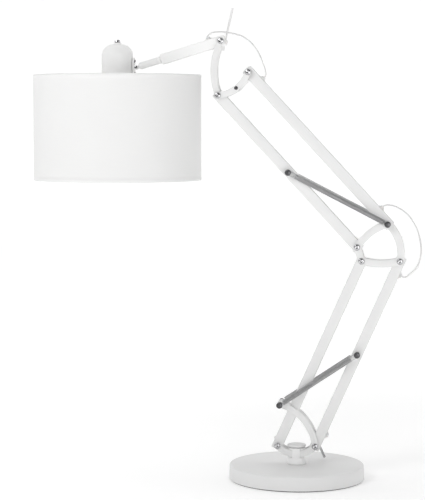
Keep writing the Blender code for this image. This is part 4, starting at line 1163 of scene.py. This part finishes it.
def make_lamp():
    top, bottom, corner, wall, hole, wide = 825, 746, 21, 1.5, 5, LAMP_CAP_RADIUS / MM
    turn = np.linspace(0, np.pi / 2, 17)
    dome = np.stack([np.sin(turn), np.cos(turn)], 1)
    middle_of_corner = np.array([wide - corner, top - corner])
    outer, inner = middle_of_corner + corner * dome, middle_of_corner + (corner - wall) * dome
    rim = top + 3
    profile = [(hole, rim), (6.8, rim), (7.6, rim - 0.5), (8, rim - 1.4), (8, top), *outer]
    profile += [(wide, bottom), (wide - wall, bottom), *inner[::-1], (hole, top - wall)]
    cap = spun(profile, 0.3, SHADE_AXIS, Z, 96, closed=True)
    piece("lamp_cap_spun", "shade_head", PAINTED_LIGHT_COAT, [cap], ["lamp_cap"])
    nut = np.array([
        (0, 4.8, 0), (hole, 4.8, 0), (hole, 0, 0), (5.5, 0, 0.6), (5.85, 0.3, 0.5), (5.85, 3.6, 0.5),
        (5, 5.2, 0.1), (2.8, 5.7, 0), (0, 5.8, 0),
    ]) + (0, rim + GAP / MM, 0)
    piece("cap_nut_turned", "shade_head", CHROME, [turned(mm(nut), SHADE_AXIS)], ["cap_nut"])
    holder = [
        (0, 832.2), (4.7, 832.2), (4.7, 760), (16.7, 758), (19.7, 754), (19.7, 740.7), (26, 740.7),
        (26, 736), (19.7, 736), (19.7, 696), (14.2, 695), (14.2, 732), (0, 732),
    ]
    holder = spun(holder, 0.9, SHADE_AXIS, Z, 64)
    piece("lampholder_glazed", "shade_head", PORCELAIN, [holder], ["lampholder"])
    glass = [
        (0, 625), (11, 626.6), (21, 632.5), (28, 643), (30, 655), (28.5, 665), (22, 677), (15, 689),
        (13.2, 693), (13.2, 724), (9, 729), (0, 730),
    ]
    smooth = np.maximum(through(mm(glass), 5), 0)
    piece("bulb_blown", "shade_head", OPAL_GLASS, [turned(smooth, SHADE_AXIS, Z, 64)], ["bulb"])


make_lamp()

# %% [markdown]
# ## Shade
# Cloth on a stiff liner is stretched between two wire rings and turned over them, so the edges are soft.
# Three spokes carry the top ring. The skin is one closed sheet: cloth outside, liner inside.

# %% Shade
SHADE_RADIUS = 160 * MM
SHADE_TOP, SHADE_HEIGHT = 767 * MM, 200 * MM
SKIN = 1.2 * MM
RING_WIRE, SPOKE_WIRE = 1.5 * MM, 1.4 * MM


def make_carrier():
    radius = SHADE_RADIUS - SKIN - 3 * GAP - RING_WIRE
    angle = np.linspace(0, 2 * np.pi, 120, endpoint=False)[:, None]
    circle = SHADE_AXIS + radius * (np.cos(angle) * X + np.sin(angle) * Y)
    top, bottom = SHADE_TOP - 2 * MM, SHADE_TOP - SHADE_HEIGHT + 2 * MM
    ring = swept(circle + bottom * Z, RING_WIRE, 12, closed=True)
    piece("shade_bottom_wire", "shade_head", WHITE_COAT, [ring], ["shade_bottom_ring"])
    parts = [swept(circle + top * Z, RING_WIRE, 12, closed=True)]
    parts.append(washer(20.2 * MM, 28 * MM, 741 * MM, 743 * MM, SHADE_AXIS, Z))
    for turn in np.radians((90, 210, 330)):
        out = math.cos(turn) * X + math.sin(turn) * Y
        spoke = [(26.5 * MM, 742 * MM), (34 * MM, 742.2 * MM), (radius - 8 * MM, top - 1.4 * MM)]
        spoke.append((radius, top))
        route = np.array([SHADE_AXIS + reach * out + height * Z for reach, height in spoke])
        parts.append(swept(through(route, 6), SPOKE_WIRE, 12))
    piece("shade_spider_wire", "shade_head", WHITE_COAT, parts, ["shade_spider"])


def make_skin():
    """The drum's wall: out at the rims by the thickness of the turned-over cloth, one closed profile."""
    roll, fold, cloth = 0.55 * MM, 5.5 * MM, 0.2 * MM
    low, high, inside, outside = SHADE_TOP - SHADE_HEIGHT, SHADE_TOP, SHADE_RADIUS - SKIN, SHADE_RADIUS
    drum = outside - cloth
    profile = [(outside - roll, low), (outside, low + roll), (outside, low + fold)]
    profile += [(drum, low + fold + 2 * cloth)]
    profile += [(drum, low + share * SHADE_HEIGHT) for share in np.linspace(0.06, 0.94, 23)]
    profile += [(drum, high - fold - 2 * cloth), (outside, high - fold), (outside, high - roll)]
    profile += [(outside - roll, high), (inside + roll * 0.6, high), (inside, high - roll)]
    profile += [(inside, low + roll), (inside + roll * 0.6, low)]
    grid = turned(profile, SHADE_AXIS, Z, 240, closed=True)
    made = piece("shade_skin_cloth", "shade_head", SHADE_CLOTH, [grid], ["shade_skin"], 60)
    made.data.materials.append(LINER_FILM["material"])
    centres = np.empty(len(made.data.polygons) * 3)
    made.data.polygons.foreach_get("center", centres)
    away = np.linalg.norm(centres.reshape(-1, 3)[:, :2] - SHADE_AXIS[:2], axis=1)
    made.data.polygons.foreach_set("material_index", (away < inside + 0.3 * MM).astype(np.int32))


make_carrier()
make_skin()

# %% [markdown]
# ## Sleeve and stop screws
# A sleeve with a screw at each end keeps the outer plates of the top bracket apart. A stop screw sits on
# the left face of each inner tube, low down.

# %% Small fasteners


def make_small_fasteners():
    end, seat, small = SEAT - GAP, OUTER_SEAT / MM, 3.6
    parts = [rod(4 * MM, -end, end, TOP_MIDDLE, Y), rod(SHANK, -OUTER_SEAT, OUTER_SEAT, TOP_MIDDLE, Y)]
    head = [(0, seat), (small, seat), (small, seat + 0.6), (small * 0.8, seat + 1.7), (1.3, seat + 2)]
    head += [(1.2, seat + 1), (0, seat + 0.9)]
    parts += [spun(head, 0.4, TOP_MIDDLE, side, 32) for side in (-Y, Y)]
    piece("top_sleeve_turned", "top_bracket", BLACK_STEEL, parts, ["top_sleeve"])
    nub = [(0, 0), (2.6, 0), (2.6, 1.4), (1.4, 2.2), (0, 2.2)]
    for name, start, way, at in (
        ("lower", BASE_LEFT, LOWER_WAY, 10.2 * MM),
        ("upper", ELBOW_UP_LEFT, UPPER_WAY, -2.2 * MM),
    ):
        out = np.cross(way, Y)
        place = start + way * at + out * (TUBE / 2 - 0.05 * MM)
        piece(f"{name}_stop_screw", f"{name}_inner_arm", WHITE_COAT, [spun(nub, 0.5, place, out, 24)])


make_small_fasteners()

# %% [markdown]
# ## Hidden iron
# The weight under the cover is never seen, but it keeps its own finish.

# %% Weight
weight = bpy.data.objects["base_weight"].data
weight.materials.clear()
weight.materials.append(IRON["material"])

# %% [markdown]
# ## Floor and light
# A white table in front of a white wall, both glowing. The table glows less round the lamp, a painted
# shadow round the base. The room is dark behind the camera, which gives the chrome something dark to
# reflect. Two large soft lights stand in front, one high on the left and one low on the right.

# %% Floor and light


class Surround(Finish):
    """The same kind of calculation for the world around the scene."""

    def __init__(self, name):
        world = bpy.data.worlds.new(name)
        bpy.context.scene.world = world
        world.use_nodes = True
        self.nodes, self.links = world.node_tree.nodes, world.node_tree.links
        self.shader = self.nodes["Background"]


def soft_light(name, place, size, power):
    """A square light that looks at the middle of the lamp."""
    lamp = bpy.data.lights.new(name, "AREA")
    lamp.size, lamp.energy = size, power
    light = linked(name, lamp)
    light.location = place
    aim = np.array([-0.1, 0, 0.45]) - np.array(place)
    light.rotation_euler = (math.atan2(math.hypot(aim[0], aim[1]), -aim[2]), 0, math.atan2(-aim[0], aim[1]))


def lit_sheet(name, place, tilt, low, high):
    """A white plane that glows by `low` at its middle and by `high` from 1.4 m away: the weaker glow near
    the middle is a painted shadow.
    """
    bpy.ops.mesh.primitive_plane_add(size=14, location=place, rotation=(tilt, 0, 0))
    sheet = bpy.context.object
    sheet.name = name
    table = Finish(f"glowing_white_painted_shadow_{name}", Emission_Strength=1.0)
    cloud, grain = table.noise(0.6), table.noise(1.5 * MM)
    reach = table.node("ShaderNodeVectorMath", {"operation": "LENGTH"}, {0: table.place()}, output=1)
    away = table.node("ShaderNodeMapRange", inputs={0: reach, 1: 0.15, 2: 1.4, 3: 0.0, 4: 1.0})
    table.feed(
        Base_Color=table.shade((0.79,) * 3, (0.81,) * 3, cloud),
        Roughness=0.85 + 0.1 * grain,
        # Less glow near the lamp: a painted shadow round the base.
        Emission_Color=table.shade((low,) * 3, (high,) * 3, away),
    )
    sheet.data.materials.append(table.material)


def make_room():
    room = Surround("white_room")
    split = room.node("ShaderNodeSeparateXYZ", inputs={0: room.place("Generated")}, output=1)
    bright = room.node("ShaderNodeMapRange", inputs={0: split, 1: -0.55, 2: 0.12, 3: 0.05, 4: 1.12})
    room.feed(Strength=bright)
    room.shader.inputs["Color"].default_value = (1, 1, 1, 1)


lit_sheet("floor", (0, 0, 0), 0, 0.25, 0.44)
lit_sheet("wall", (0, 6.9, 3), math.pi / 2, 0.60, 0.62)
make_room()
soft_light("key_light", (-1.2, -1.9, 1.75), 1.2, 22)
soft_light("fill_light", (0.9, -2.5, 0.4), 1.2, 20)
bpy.context.scene.view_settings.view_transform = "Standard"

# %% [markdown]
# ## Sizes
# How many finished pieces there are and how many triangles they hold.

# %% Sizes
print("pieces:", len(MADE), "triangles:", sum(2 * len(p.data.polygons) for p in MADE))
